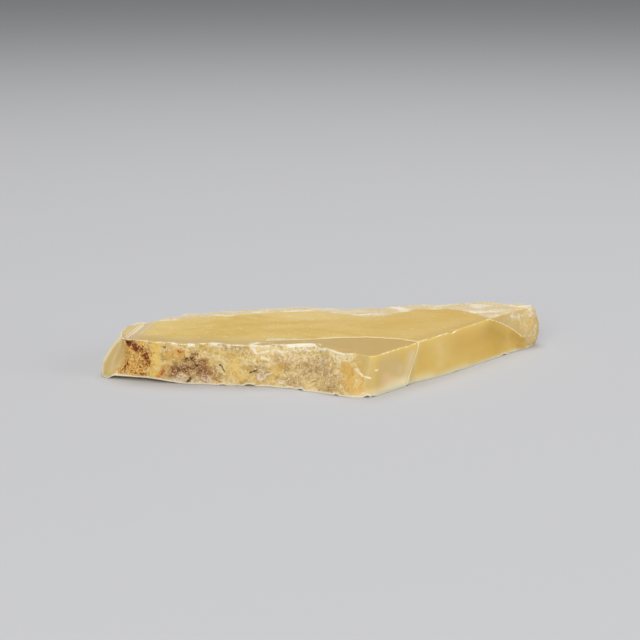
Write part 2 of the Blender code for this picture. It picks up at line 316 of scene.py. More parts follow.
def rind_on_top(x, y):
    """How much of the upper face is rind at a point, from 0 to 1."""
    if x > ARC[-1][0]:
        return 1.0
    wander = 0.9 * lump(x, y, 7.0, 2.3) + 0.5 * lump(x, y, 9.0, 0.8)
    if x > ARC[0][0]:
        return ease((y - height_on_line(ARC, x)) / ARC_FADE + 0.5)
    return ease((y - height_on_line(RIND_EDGE, x) + wander) / RIND_FADE + 0.5)


def top_height(x, y):
    """Height of the upper face: flat as sawn, less the bevels, the flakes and the wedge's drop."""
    z = THICKNESS
    for start, end, fall in LEFT_BEVELS:
        z = min(z, THICKNESS - fall * left_of(start, end, x, y))
    ahead = height_on_line(CRACK, x) - y
    if CRACK[0][0] - WEDGE_PAST_CRACK[0] < x < CRACK[-1][0] + WEDGE_PAST_CRACK[1]:
        if ahead > 0:
            z = min(z, THICKNESS - WEDGE_STEP - WEDGE_FALL * ahead)
        z -= CRACK_DEPTH * max(0.0, 1.0 - abs(ahead) / CRACK_WIDTH)
    for flake_x, flake_y, radius, depth in RIM_FLAKES:
        away = math.hypot(x - flake_x, y - flake_y) / radius
        z -= depth * max(0.0, 1.0 - away * away)
    rind = rind_on_top(x, y)
    relief = lump(x, y, 3.0, 1.9) + 0.6 * lump(x, y, 5.0, 0.7) - 0.6
    return z + RIND_RELIEF * rind * min(0.1, relief)


def bottom_height(x, y):
    """Height of the underside: flat on the surface, but broken away at the left of the front."""
    start, end = Vector(UNDERCUT_LINE[0]), Vector(UNDERCUT_LINE[1])
    along = end - start
    place = (Vector((x, y)) - start).dot(along) / along.length_squared
    inward = left_of(start, end, x, y)
    strength = ease((1.0 - place) * 2.0) * ease((place + 0.02) * 12.0)
    z = UNDERCUT_HEIGHT * strength * (1.0 - ease(inward / UNDERCUT_DEPTH))
    for chip_x, chip_y, radius, depth in LOWER_CHIPS:
        away = math.hypot(x - chip_x, y - chip_y) / radius
        z = max(z, depth * (1.0 - away * away))
    return z


def curve_through(values, t):
    """Catmull-Rom value between the middle two of four tuples."""
    a, b, c, d = values
    return [
        0.5 * (2 * q + (r - p) * t + (2 * p - 5 * q + 4 * r - s) * t * t + (3 * q - p - 3 * r + s) * t ** 3)
        for p, q, r, s in zip(a, b, c, d)
    ]


FRONT_CORNER = len(ROUGH_FRONT)
TIP = FRONT_CORNER + len(SPLIT_FRONT)
NOSE = TIP + len(RIND)


def column_step(i):
    """Spacing of the columns after a station, finer where a pale line crosses the split face."""
    if i == FRONT_CORNER + 3 or TIP - 2 <= i < TIP:
        return COLUMN_STEPS[0]
    zone = 0 if i < FRONT_CORNER else 1 if i < TIP else 2 if i < NOSE else 3
    return COLUMN_STEPS[zone]


def wall_columns():
    """The stations joined by a smooth closed curve; each column also knows its place on it."""
    columns = []
    count = len(STATIONS)
    for i, station in enumerate(STATIONS):
        near = [STATIONS[(i + k) % count] for k in (-1, 0, 1, 2)]
        length = math.hypot(near[2][0] - station[0], near[2][1] - station[1])
        pieces = max(1, round(length / column_step(i)))
        columns += [curve_through(near, k / pieces) + [i + k / pieces] for k in range(pieces)]
    return columns


def outward_directions(columns):
    """Level unit vectors that point out of the wall at each column."""
    result = []
    for i in range(len(columns)):
        before, after = columns[i - 2], columns[(i + 2) % len(columns)]
        along = Vector((
            after[0] - before[0] + after[2] - before[2], after[1] - before[1] + after[3] - before[3],
        ))
        result.append(Vector((along.y, -along.x)).normalized())
    return result


def rough_share(place, x, z):
    """1 on the rough front, 0 elsewhere, blended over the front corner and ragged along the nose."""
    if 3.0 < place < NOSE:
        return ease((FRONT_CORNER - 0.2 - place) / 1.3)
    share = ease((place - len(STATIONS) + 1.4) / 1.0) if place > NOSE else 1.0
    ragged = 0.25 * lump(x, 2.0, z, 0.7)
    return share * ease((x - height_on_line(NOSE_ON_WALL, z) + ragged) / 0.3 + 0.5)


def nose_share(place):
    """1 on the chipped nose, 0 elsewhere."""
    return ease((place - NOSE + 0.2) / 1.0) if place > FRONT_CORNER else ease((0.5 - place) / 0.5)


def past_rind_edge(x, z):
    """Signed distance past the rind's edge on the split face, in millimetres."""
    return RIND_SLANT * (x - height_on_line(RIND_ON_WALL, z))


def rind_share(place, x, z):
    """1 on the rind's wall; on the split face it starts at a slanting line."""
    if place < FRONT_CORNER or place > NOSE + 1.0:
        return 0.0
    if place < TIP + 3.0:
        thin = 0.55 + 0.45 * ease((place - TIP - 1.0) / 2.0)
        return thin * max(ease(past_rind_edge(x, z) / 0.2 + 0.5), ease((place - TIP - 0.7) / 0.6))
    return ease((NOSE + 0.4 - place) / 0.9)


def threads(x, y, z):
    """Wispy ridges of a broken face, from -1 to 1."""
    place = Vector((x, y, z))
    bent = place / THREAD_LENGTH + 0.7 * noise.noise_vector(place / 1.3)
    fine = 1.0 - 3.4 * abs(noise.noise(bent))
    wide = 1.0 - 3.0 * abs(noise.noise(bent * 0.45 + Vector((5.0, 0.0, 0.0))))
    return max(-1.0, 0.6 * fine + 0.4 * wide)


def facet(x, y, z):
    """Small tilted facets of a broken face, in millimetres."""
    bent = Vector((x, y, z)) / FACET_LENGTH + 0.3 * noise.noise_vector(Vector((x, y, z)) / 1.1)
    centre = noise.voronoi(bent)[1][0]
    tilt = noise.noise_vector(centre * 5.7)
    return FACET_TILT * FACET_LENGTH * (bent - centre).dot(tilt)


def knobs(x, y, z):
    """Knobs of the rind, from -1 to 1."""
    cells = noise.voronoi(Vector((x + 3.1, y, z * 1.2)) / KNOB_LENGTH)[0]
    return 0.9 - 1.9 * cells[0] ** 1.5


def pits(x, y, z):
    """Small holes on a broken face, from 0 to 1 deep; only some cells of a net have one."""
    near, points = noise.voronoi(Vector((x + 11.0, y, z)) / PIT_LENGTH)[:2]
    if noise.noise(points[0] * 7.3) < 0.12:
        return 0.0
    return max(0.0, 1.0 - near[0] / PIT_RADIUS)


def scar(x, z):
    """Depth of the flake scars at a place of the rough front."""
    deepest = 0.0
    for scar_x, scar_z, wide, tall, depth in SCARS:
        away = ((x - scar_x) / wide) ** 2 + ((z - scar_z) / tall) ** 2
        deepest = max(deepest, depth * (1.0 - away))
    return deepest


def shell(x, y, z):
    """Ripples of a shell-like break, in millimetres, spreading from where the blow fell."""
    away = (Vector((x, y, z)) - Vector(BLOW)).length
    bent = away + 0.5 * lump(x, y, z, 2.0)
    ripple = abs(math.sin(bent * 1.9)) ** 0.7 - 0.6
    grown = ease((away - 3.0) / 3.0)
    return (0.012 + 0.05 * grown) * ripple + (0.15 + 0.55 * grown) * facet(x * 0.7, y * 0.7, z * 0.7)


def wall_relief(x, y, z, rough, rind, nose):
    """Fine relief of the wall: how far it stands out, and the same as a share for the colours, which are
    darker where the wall lies low: painted shade in its hollows.
    """
    fine = 0.5 * lump(x, y, z, 0.9) + 0.35 * lump(x, y, z, 0.4) + 0.2 * lump(x, y, z, 0.2)
    small = THREAD_RELIEF * (0.8 * threads(x, y, z) + 1.2 * fine)
    broken = small + facet(x, y, z) - PIT_DEPTH * pits(x, y, z) - scar(x, z) if rough > 0 else 0.0
    crust = KNOB_RELIEF * (0.6 * knobs(x, y, z) + 0.9 * fine)
    smooth = 0.012 * fine + (nose * shell(x, y, z) if nose > 0 else 0.0)
    out = smooth + rough * broken + rind * crust
    shade = 0.5 + rough * small / THREAD_RELIEF * 0.45 + rind * crust / KNOB_RELIEF * 0.45
    return out, min(1.0, max(0.0, shade))


def arris(index, x, y, rough, rind, nose):
    """Width of the frosted edge at a column, and how frosted it is there."""
    chips = max(0.0, 0.7 * lump(x, y, 20.0 + index, 0.75) + 0.5 * lump(x, y, 22.0, 0.24)) * (1.0 - rind)
    chips += max(0.0, lump(x, y, 25.0 + index, 1.1)) * rind
    coarse = max(0.0, lump(x, y, 30.0 + index, 1.5))
    wide = ARRIS + ARRIS_CHIPS * (0.9 * chips ** 1.4 + 0.35 * coarse)
    least = FROST_ANYWHERE[index] + FROST_ON_ROUGH[index] * rough + FROST_ON_NOSE[index] * nose
    least -= LESS_FROST_ON_RIND * rind
    frost = min(FROST_MOST[index], max(0.0, least + 2.0 * chips + 0.5 * coarse))
    return wide * (1.0 + WIDER_ON_ROUGH[index] * rough + WIDER_ON_RIND * rind), frost


def ledge_share(x):
    """How much of its full width the rim's broken ledge has at x: it thins out to the left."""
    left, right = LEDGE
    return ease((x - left) / (0.8 * (right - left))) * ease((right - x) / LEDGE_FADE)


def crack_gap(x, z):
    """Signed distance from the crack on the split face: above 0 on the wedge."""
    return CRACK_SLANT * (height_on_line(CRACK_ON_WALL, z) - x)


def base_wall_point(column, outward, share):
    """A point of the plain wall at a share of the way up, before its fine relief."""
    top_x, top_y, bottom_x, bottom_y, belly, rough, place = column
    x = bottom_x + (top_x - bottom_x) * share
    y = bottom_y + (top_y - bottom_y) * share
    z = THICKNESS * share
    middle = 4.0 * share * (1.0 - share)
    calm = 1.0 - CALM_AT_EDGES * (1.0 - middle)
    swell = belly * middle
    swell += calm * rough * 1.4 * lump(x, y, z, LUMP_LENGTH)
    swell += calm * rough * 0.8 * lump(x, y, z, LUMP_LENGTH * 0.4)
    if FRONT_CORNER < place < TIP:
        swell -= CRACK_DEPTH * max(0.0, 1.0 - abs(crack_gap(x, z)) / CRACK_WIDTH)
    return x + outward.x * swell, y + outward.y * swell


def row_shares():
    """For each row of the wall: share of the way up, and arris turn at the lower and upper edge."""
    turns = [math.pi / 2 * k / ARRIS_ROWS for k in range(ARRIS_ROWS)]
    rows = [(0.0, turn, None) for turn in turns]
    rows += [(k / WALL_ROWS, None, None) for k in range(WALL_ROWS + 1)]
    rows += [(1.0, None, turn) for turn in reversed(turns)]
    return rows


# ---------------------------------------------------------------- markings of the wall

MARK_REACH = 6.5  # a mark further than this from a place, along x, doesn't touch it
# Each mark: strength, half width, then the x and height of its points, in millimetres.
STAINS_AND_PAINTED_LIGHT = {
    "rust": [
        (1.0, 1.3, (-28.0, 4.9), (-27.0, 4.6), (-25.9, 3.9), (-25.6, 3.0)),
        (1.0, 1.2, (-28.1, 3.6), (-27.5, 2.4), (-26.4, 1.6)),
        (0.8, 0.9, (-29.2, 1.2), (-27.8, 1.1), (-26.0, 1.0)),
        (0.8, 0.7, (-26.2, 4.9), (-25.9, 5.4)),
    ],
    "rust_specks": [
        (1.25, 0.6, (-28.3, 5.6), (-27.6, 5.2), (-27.0, 4.6)),
        (1.05, 0.9, (-27.4, 5.0), (-26.4, 4.6), (-25.6, 4.2)),
        (1.0, 0.8, (-25.6, 4.4), (-25.3, 3.6), (-25.7, 2.6)),
        (0.8, 1.0, (-27.6, 3.2), (-26.8, 2.2)),
        (0.9, 0.5, (-28.2, 2.7), (-28.9, 1.6), (-29.5, 1.1)),
        (0.85, 0.5, (-28.1, 1.5), (-27.0, 0.9), (-26.2, 1.0)),
        (0.6, 0.5, (-25.0, 4.3), (-25.0, 3.4)),
        (0.85, 0.8, (-20.6, 4.6)),
        (0.7, 0.5, (-22.9, 5.4), (-22.4, 5.0)),
        (0.85, 0.5, (-23.4, 1.1), (-23.0, 1.8)),
    ],
    "dark_specks": [
        (1.15, 0.40, (-20.1, 3.6), (-19.2, 3.9), (-18.3, 4.4)),
        (0.95, 0.8, (-21.6, 2.1), (-19.7, 2.3), (-18.1, 2.7)),
        (0.85, 0.6, (-18.6, 1.9), (-17.2, 1.7)),
        (0.75, 0.7, (-19.0, 3.2), (-17.8, 3.4)),
        (1.4, 0.30, (-19.6, 0.3), (-19.3, 0.8)),
        (0.6, 0.5, (-16.0, 3.2), (-15.2, 2.0)),
        (0.6, 0.6, (-6.9, 2.6), (-6.2, 3.3)),
        (0.5, 1.2, (-3.4, 1.6), (-1.2, 1.4)),
    ],
    "orange": [
        (1.15, 0.42, (-23.7, 0.9), (-23.1, 1.7)),
        (0.5, 0.6, (-22.9, 1.0)),
        (0.85, 0.9, (-20.6, 4.7)),
        (0.6, 0.9, (-21.2, 3.9), (-22.2, 5.2)),
        (0.5, 0.4, (-22.9, 5.4), (-21.3, 5.3)),
        (0.4, 1.0, (-21.8, 3.6)),
        (0.5, 0.9, (-28.0, 2.2), (-26.6, 3.2)),
    ],
    "mauve": [
        (1.0, 1.5, (-21.6, 1.7), (-20.4, 2.2), (-18.4, 2.5), (-17.2, 1.8)),
        (0.9, 1.1, (-19.6, 3.3), (-18.4, 3.7), (-17.4, 3.1)),
        (0.7, 0.8, (-22.5, 1.2)),
        (0.7, 0.9, (-16.4, 1.0), (-15.2, 0.8)),
        (0.4, 0.7, (-15.0, 2.6)),
        (0.45, 0.8, (-9.3, 3.0), (-8.9, 1.6)),
        (0.45, 0.9, (-7.0, 3.4), (-5.8, 3.5)),
        (0.45, 0.9, (-5.4, 0.5), (-4.2, 1.0)),
    ],
    "dun": [
        (1.0, 1.1, (-9.2, 2.9), (-8.6, 1.8)),
        (1.0, 1.1, (-6.8, 3.6), (-5.4, 3.2)),
        (1.0, 1.0, (-5.2, 0.8), (-3.6, 1.2)),
        (0.9, 1.4, (-3.0, 2.6), (-0.6, 3.0), (0.8, 2.2)),
        (0.8, 0.9, (-0.6, 0.9), (1.4, 1.0)),
        (0.7, 0.9, (-15.8, 3.8), (-15.0, 1.2)),
        (0.6, 0.8, (-10.8, 4.0)),
        (0.6, 0.8, (2.0, 3.4)),
    ],
    "lilac": [
        (0.9, 0.5, (-21.2, 1.0), (-20.5, 1.2), (-19.8, 1.2)),
        (1.15, 0.6, (-21.4, 0.4), (-20.2, 0.4)),
        (1.0, 0.6, (-18.8, 0.4), (-18.0, 0.5)),
        (1.0, 0.6, (-17.4, 0.9), (-16.4, 0.4)),
        (1.4, 0.19, (-9.5, 1.7), (-9.5, 1.2), (-9.1, 1.0), (-8.7, 1.2), (-8.4, 1.7), (-8.0, 1.8)),
        (1.1, 0.16, (-8.7, 1.5), (-8.9, 2.1), (-9.1, 2.7)),
        (0.6, 0.5, (-6.6, 0.8), (-5.4, 1.0), (-4.9, 1.4)),
        (0.5, 0.7, (-3.4, 0.9)),
        (0.65, 0.9, (-6.8, 4.6), (-4.2, 4.4)),
        (0.5, 0.7, (-10.2, 5.0), (-8.4, 5.1)),
    ],
    "chalk": [
        (0.8, 0.20, (-7.4, 5.75), (-5.4, 5.7)),
        (1.4, 0.26, (-5.2, 5.7), (-3.6, 5.65), (-1.8, 5.65)),
        (1.0, 0.20, (-1.6, 5.7), (-0.4, 5.35)),
        (0.75, 0.8, (-7.4, 5.0), (-5.0, 5.0), (-2.4, 5.1)),
        (0.6, 0.9, (-6.4, 4.0), (-4.0, 4.1), (-2.2, 4.2)),
        (0.62, 0.45, (-16.4, 5.6), (-13.0, 5.3), (-10.5, 5.1)),
        (1.1, 0.35, (-19.4, 5.7), (-18.8, 5.7)),
        (0.9, 0.25, (-22.0, 5.8), (-21.2, 5.8)),
        (0.7, 0.22, (-17.3, 4.65), (-16.3, 4.4)),
        (0.9, 0.3, (-16.4, 5.8), (-14.7, 5.6)),
        (0.7, 0.25, (-14.3, 5.6), (-12.8, 5.5), (-11.8, 5.3)),
        (1.1, 0.3, (-10.5, 5.6), (-10.0, 5.2), (-9.9, 4.8)),
        (0.9, 0.25, (-9.9, 5.75), (-9.3, 5.7), (-8.2, 5.6)),
        (1.0, 0.24, (-9.5, 4.65), (-8.8, 4.75), (-8.0, 5.0)),
        (0.95, 0.24, (-9.0, 4.15), (-8.0, 3.85)),
        (0.5, 0.5, (-10.6, 4.3), (-7.6, 4.4)),
        (0.9, 0.25, (-1.4, 5.2), (-0.2, 5.6), (1.0, 5.8)),
        (0.6, 0.6, (-1.2, 4.0), (0.2, 4.4)),
        (0.58, 1.1, (30.2, 5.0), (30.6, 2.2)),
        (0.78, 0.9, (28.4, 5.4), (29.6, 5.0)),
        (0.8, 1.0, (31.4, 5.8), (31.8, 5.0)),
        (0.7, 0.5, (32.4, 3.4), (32.2, 1.6)),
    ],
    "cream": [
        (1.3, 0.36, (0.9, 5.4), (2.2, 5.4), (3.5, 5.35)),
        (1.2, 0.32, (1.3, 5.0), (1.8, 4.4)),
        (1.2, 0.28, (2.3, 4.9), (3.6, 5.0)),
    ],
    "gold": [
        (1.0, 1.1, (2.9, 4.0), (3.4, 3.2), (3.2, 2.0), (3.8, 1.2)),
        (0.8, 0.9, (4.6, 3.6), (5.0, 2.2), (5.0, 1.2)),
        (0.9, 0.5, (-6.2, 3.2), (-6.9, 2.2)),
        (0.6, 0.6, (-8.2, 1.2), (-7.2, 1.4)),
        (0.5, 0.5, (-10.5, 2.8)),
        (0.5, 0.8, (-13.4, 1.2), (-11.0, 0.8)),
        (0.9, 1.2, (-22.2, 4.2), (-20.4, 4.3)),
        (0.7, 0.8, (-22.8, 2.6), (-22.6, 1.8)),
    ],
    "grit": [
        (1.0, 2.4, (-3.6, 2.6), (-0.4, 3.2), (1.0, 2.2)),
        (0.8, 1.6, (0.6, 1.2)),
        (0.5, 1.6, (-5.4, 3.6)),
    ],
    "clean": [
        (1.2, 0.75, (-24.0, 5.4), (-24.2, 3.6), (-24.4, 1.4)),
        (0.8, 1.3, (-12.8, 3.8), (-12.4, 1.6)),
    ],
    "light_stroke": [
        (1.2, 0.11, (4.4, 3.9), (4.75, 3.4), (5.2, 2.95), (5.7, 2.85), (6.3, 2.65)),
        (0.9, 0.10, (4.1, 3.9), (4.3, 3.5), (4.7, 3.2), (5.1, 2.9)),
        (0.9, 0.10, (5.3, 2.9), (5.6, 2.5), (5.8, 2.4)),
        (1.0, 0.17, (7.0, 3.7), (7.2, 3.7)),
        (0.8, 0.12, (-6.8, 1.0), (-6.3, 0.6), (-5.5, 1.1), (-4.9, 1.5)),
        (0.7, 0.12, (-5.5, 2.1), (-4.7, 2.7), (-4.4, 2.3)),
        (0.8, 0.12, (-17.2, 4.7), (-16.3, 4.4)),
        (0.6, 0.11, (1.8, 3.0), (2.3, 2.3), (3.2, 1.8)),
        (0.7, 0.11, (-1.2, 4.3), (-0.6, 3.6), (0.2, 3.4)),
        (0.6, 0.11, (0.6, 4.0), (1.2, 3.4), (1.4, 2.8)),
        (0.6, 0.11, (-2.6, 3.6), (-1.8, 3.2), (-1.6, 2.6)),
        (0.6, 0.11, (-3.2, 2.4), (-2.4, 1.8)),
        (0.5, 0.11, (-0.4, 1.9), (0.6, 1.7)),
        (0.7, 0.12, (3.8, 2.0), (4.4, 1.5), (4.6, 0.8)),
        (0.6, 0.11, (-12.0, 3.8), (-11.8, 2.6), (-11.2, 1.9)),
    ],
    "dark_stroke": [
        (1.2, 0.14, (-15.1, 2.95), (-14.7, 2.8), (-14.3, 2.1)),
        (1.1, 0.14, (-10.6, 2.0), (-10.1, 2.2), (-9.6, 2.3)),
        (0.7, 0.12, (3.4, 3.0), (3.9, 3.0), (4.4, 2.7)),
        (0.7, 0.12, (4.5, 1.4), (5.0, 1.9), (5.1, 2.5)),
        (0.7, 0.12, (-14.0, 4.7), (-13.8, 4.3)),
        (0.6, 0.12, (-8.3, 4.6), (-7.5, 4.75)),
        (0.5, 0.12, (-9.9, 3.5), (-9.6, 3.4)),
        (0.6, 0.12, (-13.0, 2.2), (-12.6, 1.6)),
        (0.8, 0.14, (-19.6, 3.9), (-18.2, 4.3)),
        (1.2, 0.16, (-19.6, 0.3), (-19.2, 0.8)),
    ],
    # The kinds from here on are painted light and shade inside the stone: pale is painted glow along the
    # lower part of the split face, round the nose's outline and in two columns of the rough front; dusky
    # and brown are painted shade, dusky on the nose and beside the front corner, brown at the far end of
    # the split face; grey, pink and golden tint that light.
    "pale": [
        (1.0, 1.3, (4.0, -0.3), (6.2, -0.2), (8.6, 0.2), (10.0, 0.5), (11.2, 0.7)),
        (0.7, 0.7, (9.6, 0.7), (11.0, 0.9)),
        (1.0, 1.7, (11.8, -0.5), (15.0, -0.4)),
        (1.0, 1.2, (15.0, -0.4), (20.5, -0.4)),
        (0.8, 0.9, (-12.7, 3.4), (-12.3, 1.8)),
        (0.75, 0.8, (-24.1, 4.8), (-24.3, 1.6)),
        (0.6, 1.4, (12.4, 4.4), (11.9, 2.6), (11.4, 1.4)),
        (0.95, 0.8, (20.5, -0.3), (29.0, -0.2)),
        (0.5, 2.2, (16.4, 4.6), (16.8, 2.6), (16.4, 1.0)),
        (0.5, 1.6, (10.6, 3.0), (10.6, 1.4)),
        (1.3, 0.42, (-32.5, 0.4), (-32.4, 2.0), (-31.8, 3.1), (-31.1, 4.3), (-30.4, 5.2), (-29.8, 5.7)),
        (0.8, 0.5, (-32.0, 0.1), (-31.0, 0.0)),
    ],
    "dusky": [
        (0.75, 2.2, (5.9, 5.2), (6.2, 3.4), (6.4, 1.6)),
        (1.0, 2.4, (-30.8, 2.2), (-30.2, 3.6), (-29.4, 5.2)),
        (0.9, 2.0, (-31.6, 0.6)),
    ],
    "grey": [
        (1.0, 1.9, (9.2, 3.9), (10.4, 2.4)),
        (0.8, 1.4, (12.2, 4.4), (11.4, 2.0)),
    ],
    "pink": [(1.0, 1.0, (8.4, 2.0), (9.2, 1.5)), (0.4, 0.8, (26.8, 1.4), (28.4, 1.2))],
    "brown": [
        (0.9, 1.6, (28.6, 2.6), (30.0, 1.4)),
        (0.8, 2.4, (25.0, 4.2), (26.8, 2.8)),
        (1.0, 0.6, (29.4, 0.9), (30.4, 1.6)),
    ],
    "golden": [
        (0.6, 1.7, (13.9, 4.2), (13.6, 2.6)),
        (0.7, 1.0, (5.2, 4.8), (5.4, 2.2)),
        (0.9, 2.6, (20.0, 3.6), (23.0, 3.2)),
        (0.8, 1.6, (22.0, 1.8), (25.4, 1.4)),
    ],
}


def gap_to_line(points, x, y):
    """Distance from a point to a row of joined points."""
    if len(points) == 1:
        return math.hypot(x - points[0][0], y - points[0][1])
    least = math.inf
    for (ax, ay), (bx, by) in zip(points, points[1:]):
        dx, dy = bx - ax, by - ay
        t = min(1.0, max(0.0, ((x - ax) * dx + (y - ay) * dy) / (dx * dx + dy * dy)))
        least = min(least, math.hypot(x - ax - t * dx, y - ay - t * dy))
    return least


def mark_strength(marks, x, z):
    """How strongly one kind of marking lies at a place of the wall, 0 at its marks' ends."""
    most = 0.0
    for strength, half, *points in marks:
        if all(abs(x - px) > MARK_REACH for px, _ in points):
            continue
        most = max(most, strength * (1.0 - 0.5 * gap_to_line(points, x, z) / half))
    return max(0.0, most)


# ---------------------------------------------------------------- the skin

SAWN, SPLIT, BROKEN, CRUST = range(4)  # the slab's material slots
CRUST_FROM = 0.3  # share of rind from which a face of the wall is crust
BROKEN_FROM = 0.02  # share of roughness from which it is broken stone
LAYERS = ("edge", "rough", "rind", "relief", "line_gap", "pale_line", "painted_shade_and_gloss")


class Skin:
    """The mesh in the making, with one value of each layer for each vertex."""

    def __init__(self):
        """An empty mesh with all the layers."""
        self.mesh = bmesh.new()
        self.layers = {name: self.mesh.verts.layers.float.new(name) for name in (*LAYERS, *STAINS_AND_PAINTED_LIGHT)}

    def vertex(self, x, y, z, **values):
        """A new vertex with its values of the named layers."""
        vert = self.mesh.verts.new((x, y, z))
        for name, value in values.items():
            vert[self.layers[name]] = value
        return vert

    def face(self, corners, material):
        """A new face in a material slot."""
        self.mesh.faces.new(corners).material_index = material


def line_gap(place, x, z):
    """Signed distance to the two pale lines of the split face: below 0 between them."""
    if place < FRONT_CORNER or place > TIP + 2.0:
        return 1.0
    return min(1.0, max(-1.0, crack_gap(x, z), past_rind_edge(x, z)))


class WallEdges:
    """The lower and the upper edge at one column: heights, widths of the arris, and frost."""

    def __init__(self, column, outward, nose):
        """Works them out from the column's plain wall."""
        rim_x, *_, place = column
        rind = rind_share(place, rim_x, THICKNESS)
        low_x, low_y = base_wall_point(column, outward, 0.0)
        top_x, top_y = base_wall_point(column, outward, 1.0)
        low_rough = rough_share(place, low_x, 0.0)
        top_rough = rough_share(place, top_x, THICKNESS)
        self.low_arris, self.low_frost = arris(LOWER, low_x, low_y, low_rough, rind, nose)
        self.top_arris, self.top_frost = arris(UPPER, top_x, top_y, top_rough, rind, nose)
        ledge = top_rough * ledge_share(top_x)
        uneven = 0.5 * lump(top_x, 0.0, 3.0, 1.2) + 0.5 * lump(top_x, 0.0, 6.0, 0.35)
        self.top_arris += LEDGE_WIDTH * ledge * (1.0 + uneven)
        self.top_frost = max(self.top_frost, LEDGE_FROST * ledge)
        self.low = bottom_height(low_x, low_y)
        self.top = top_height(top_x - outward.x * self.top_arris, top_y - outward.y * self.top_arris)

    def row(self, share, low_turn, top_turn):
        """Height of a row, and how far the turn of an arris brings it in."""
        if low_turn is not None:
            inset = self.low_arris * (1.0 - math.sin(low_turn))
            return self.low + self.low_arris * (1.0 - math.cos(low_turn)), inset
        if top_turn is not None:
            inset = self.top_arris * (1.0 - math.sin(top_turn))
            return self.top - self.top_arris * (1.0 - math.cos(top_turn)), inset
        start = self.low + self.low_arris
        return start + (self.top - self.top_arris - self.low - self.low_arris) * share, 0.0

    def frost(self, z):
        """How frosted the wall is at a height; above the lower edge this pale band is also painted glow."""
        return max(
            self.low_frost * (1.0 - max(0.0, z - self.low - self.low_arris) / LOWER_GLOW),
            self.top_frost * (1.0 - max(0.0, self.top - self.top_arris - z) / UPPER_GLOW), 0.0,
        )

    def relief_share(self, z):
        """How much of its relief the wall keeps at a height: less near its edges."""
        return ease(min(z - self.low, self.top - z) / QUIET_EDGE) * 0.7 + 0.3


def wall_line(skin, column, outward):
    """The vertices of one column of the wall, from the lower edge up."""
    place = column[-1]
    nose = nose_share(place)
    edges = WallEdges(column, outward, nose)
    marked = place < TIP + 1.0 or place > NOSE - 0.5
    line = []
    for share, low_turn, top_turn in row_shares():
        x, y = base_wall_point(column, outward, share)
        z, inset = edges.row(share, low_turn, top_turn)
        rough, rind = rough_share(place, x, z), rind_share(place, x, z)
        out, shade = wall_relief(x, y, z, rough, rind, nose)
        stains_and_light = {}
        if marked:
            stains_and_light = {name: mark_strength(marks, x, z) for name, marks in STAINS_AND_PAINTED_LIGHT.items()}
            out += STROKE_RELIEF * rough * (stains_and_light["light_stroke"] - CRACK_CUT * stains_and_light["dark_stroke"])
        out = out * edges.relief_share(z) - inset
        line.append(skin.vertex(
            x + outward.x * out, y + outward.y * out, z, edge=edges.frost(z), rough=rough, rind=rind,
            relief=shade, line_gap=line_gap(place, x, z), **stains_and_light,
        ))
    return line


def wall_material(skin, corners):
    """The material slot of a face of the wall, from the layers of its corners."""
    rind = sum(corner[skin.layers["rind"]] for corner in corners) / len(corners)
    rough = sum(corner[skin.layers["rough"]] for corner in corners) / len(corners)
    return CRUST if rind > CRUST_FROM else BROKEN if rough > BROKEN_FROM else SPLIT


def make_wall(skin):
    """The wall with its relief; gives back the vertices of its lower edge and of its rim."""
    columns = wall_columns()
    grid = [wall_line(skin, *pair) for pair in zip(columns, outward_directions(columns))]
    for line, other in zip(grid, grid[1:] + grid[:1]):
        for k in range(len(line) - 1):
            corners = (line[k], other[k], other[k + 1], line[k + 1])
            skin.face(corners, wall_material(skin, corners))
    return [line[0] for line in grid], [line[-1] for line in grid]


def crossings(rim, y):
    """Where a closed line crosses a level y, from left to right."""
    found = []
    for a, b in zip(rim, rim[1:] + rim[:1]):
        if (a.y > y) != (b.y > y):
            found.append(a.x + (b.x - a.x) * (y - a.y) / (b.y - a.y))
    return sorted(found)


def tree_of(points):
    """A search tree of points on a level plane."""
    tree = kdtree.KDTree(len(points))
    for i, point in enumerate(points):
        tree.insert((point.x, point.y, 0.0), i)
    tree.balance()
    return tree


def grid_inside(rim, step):
    """Triangular grid points inside a closed line, each with its row and column."""
    rise = step * math.sqrt(3) / 2
    low_y, high_y = min(p.y for p in rim), max(p.y for p in rim)
    low_x = min(p.x for p in rim)
    for row in range(1, int((high_y - low_y) / rise) + 1):
        y = low_y + row * rise
        limits = crossings(rim, y)
        for left, right in zip(limits[::2], limits[1::2]):
            start = low_x + step * 0.5 * (row % 2)
            first = math.ceil((left - start) / step)
            for column in range(first, int((right - start) / step) + 1):
                yield Vector((start + column * step, y)), row, column


def lines_on_top():
    """Rows of points along the pale lines and the bevels, with a row on each side of them."""
    points = []
    lines = [line for _, line in TOP_LINES] + [(start, end) for start, end, _ in LEFT_BEVELS]
    for line in lines:
        row = spread(line, FINE_STEP * 0.6)
        for i, point in enumerate(row):
            along = (row[min(i + 1, len(row) - 1)] - row[max(i - 1, 0)]).normalized()
            side = Vector((-along.y, along.x)) * LINE_WIDTH
            points += [point - side, point, point + side]
    return points


def inside_only(points, rim):
    """The points that lie inside a closed line."""
    kept = []
    for point in points:
        if sum(1 for x in crossings(rim, point.y) if x < point.x) % 2:
            kept.append(point)
    return kept


def thinned(points, gap):
    """The points, without those that lie closer than the gap to an earlier one."""
    kept, cells = [], set()
    for point in points:
        column, row = round(point.x / gap), round(point.y / gap)
        if any((column + i, row + k) in cells for i in (-1, 0, 1) for k in (-1, 0, 1)):
            continue
        cells.add((column, row))
        kept.append(point)
    return kept


FRONT_RIM = [station[:2] for station in ROUGH_FRONT[:12]]
FRONT_SHADE_REACH = 5.2  # how far in from the rough front's rim the band of painted shade reaches
SPLIT_RIM = [station[:2] for station in SPLIT_FRONT[4:]]
SPLIT_SHADE_REACH = 3.0
SPLIT_SHADE = 0.75  # how strong the painted shade along the split face is
WEDGE_SHADE_ENDS = (-8.6, 13.4)  # x between which the wedge carries painted shade


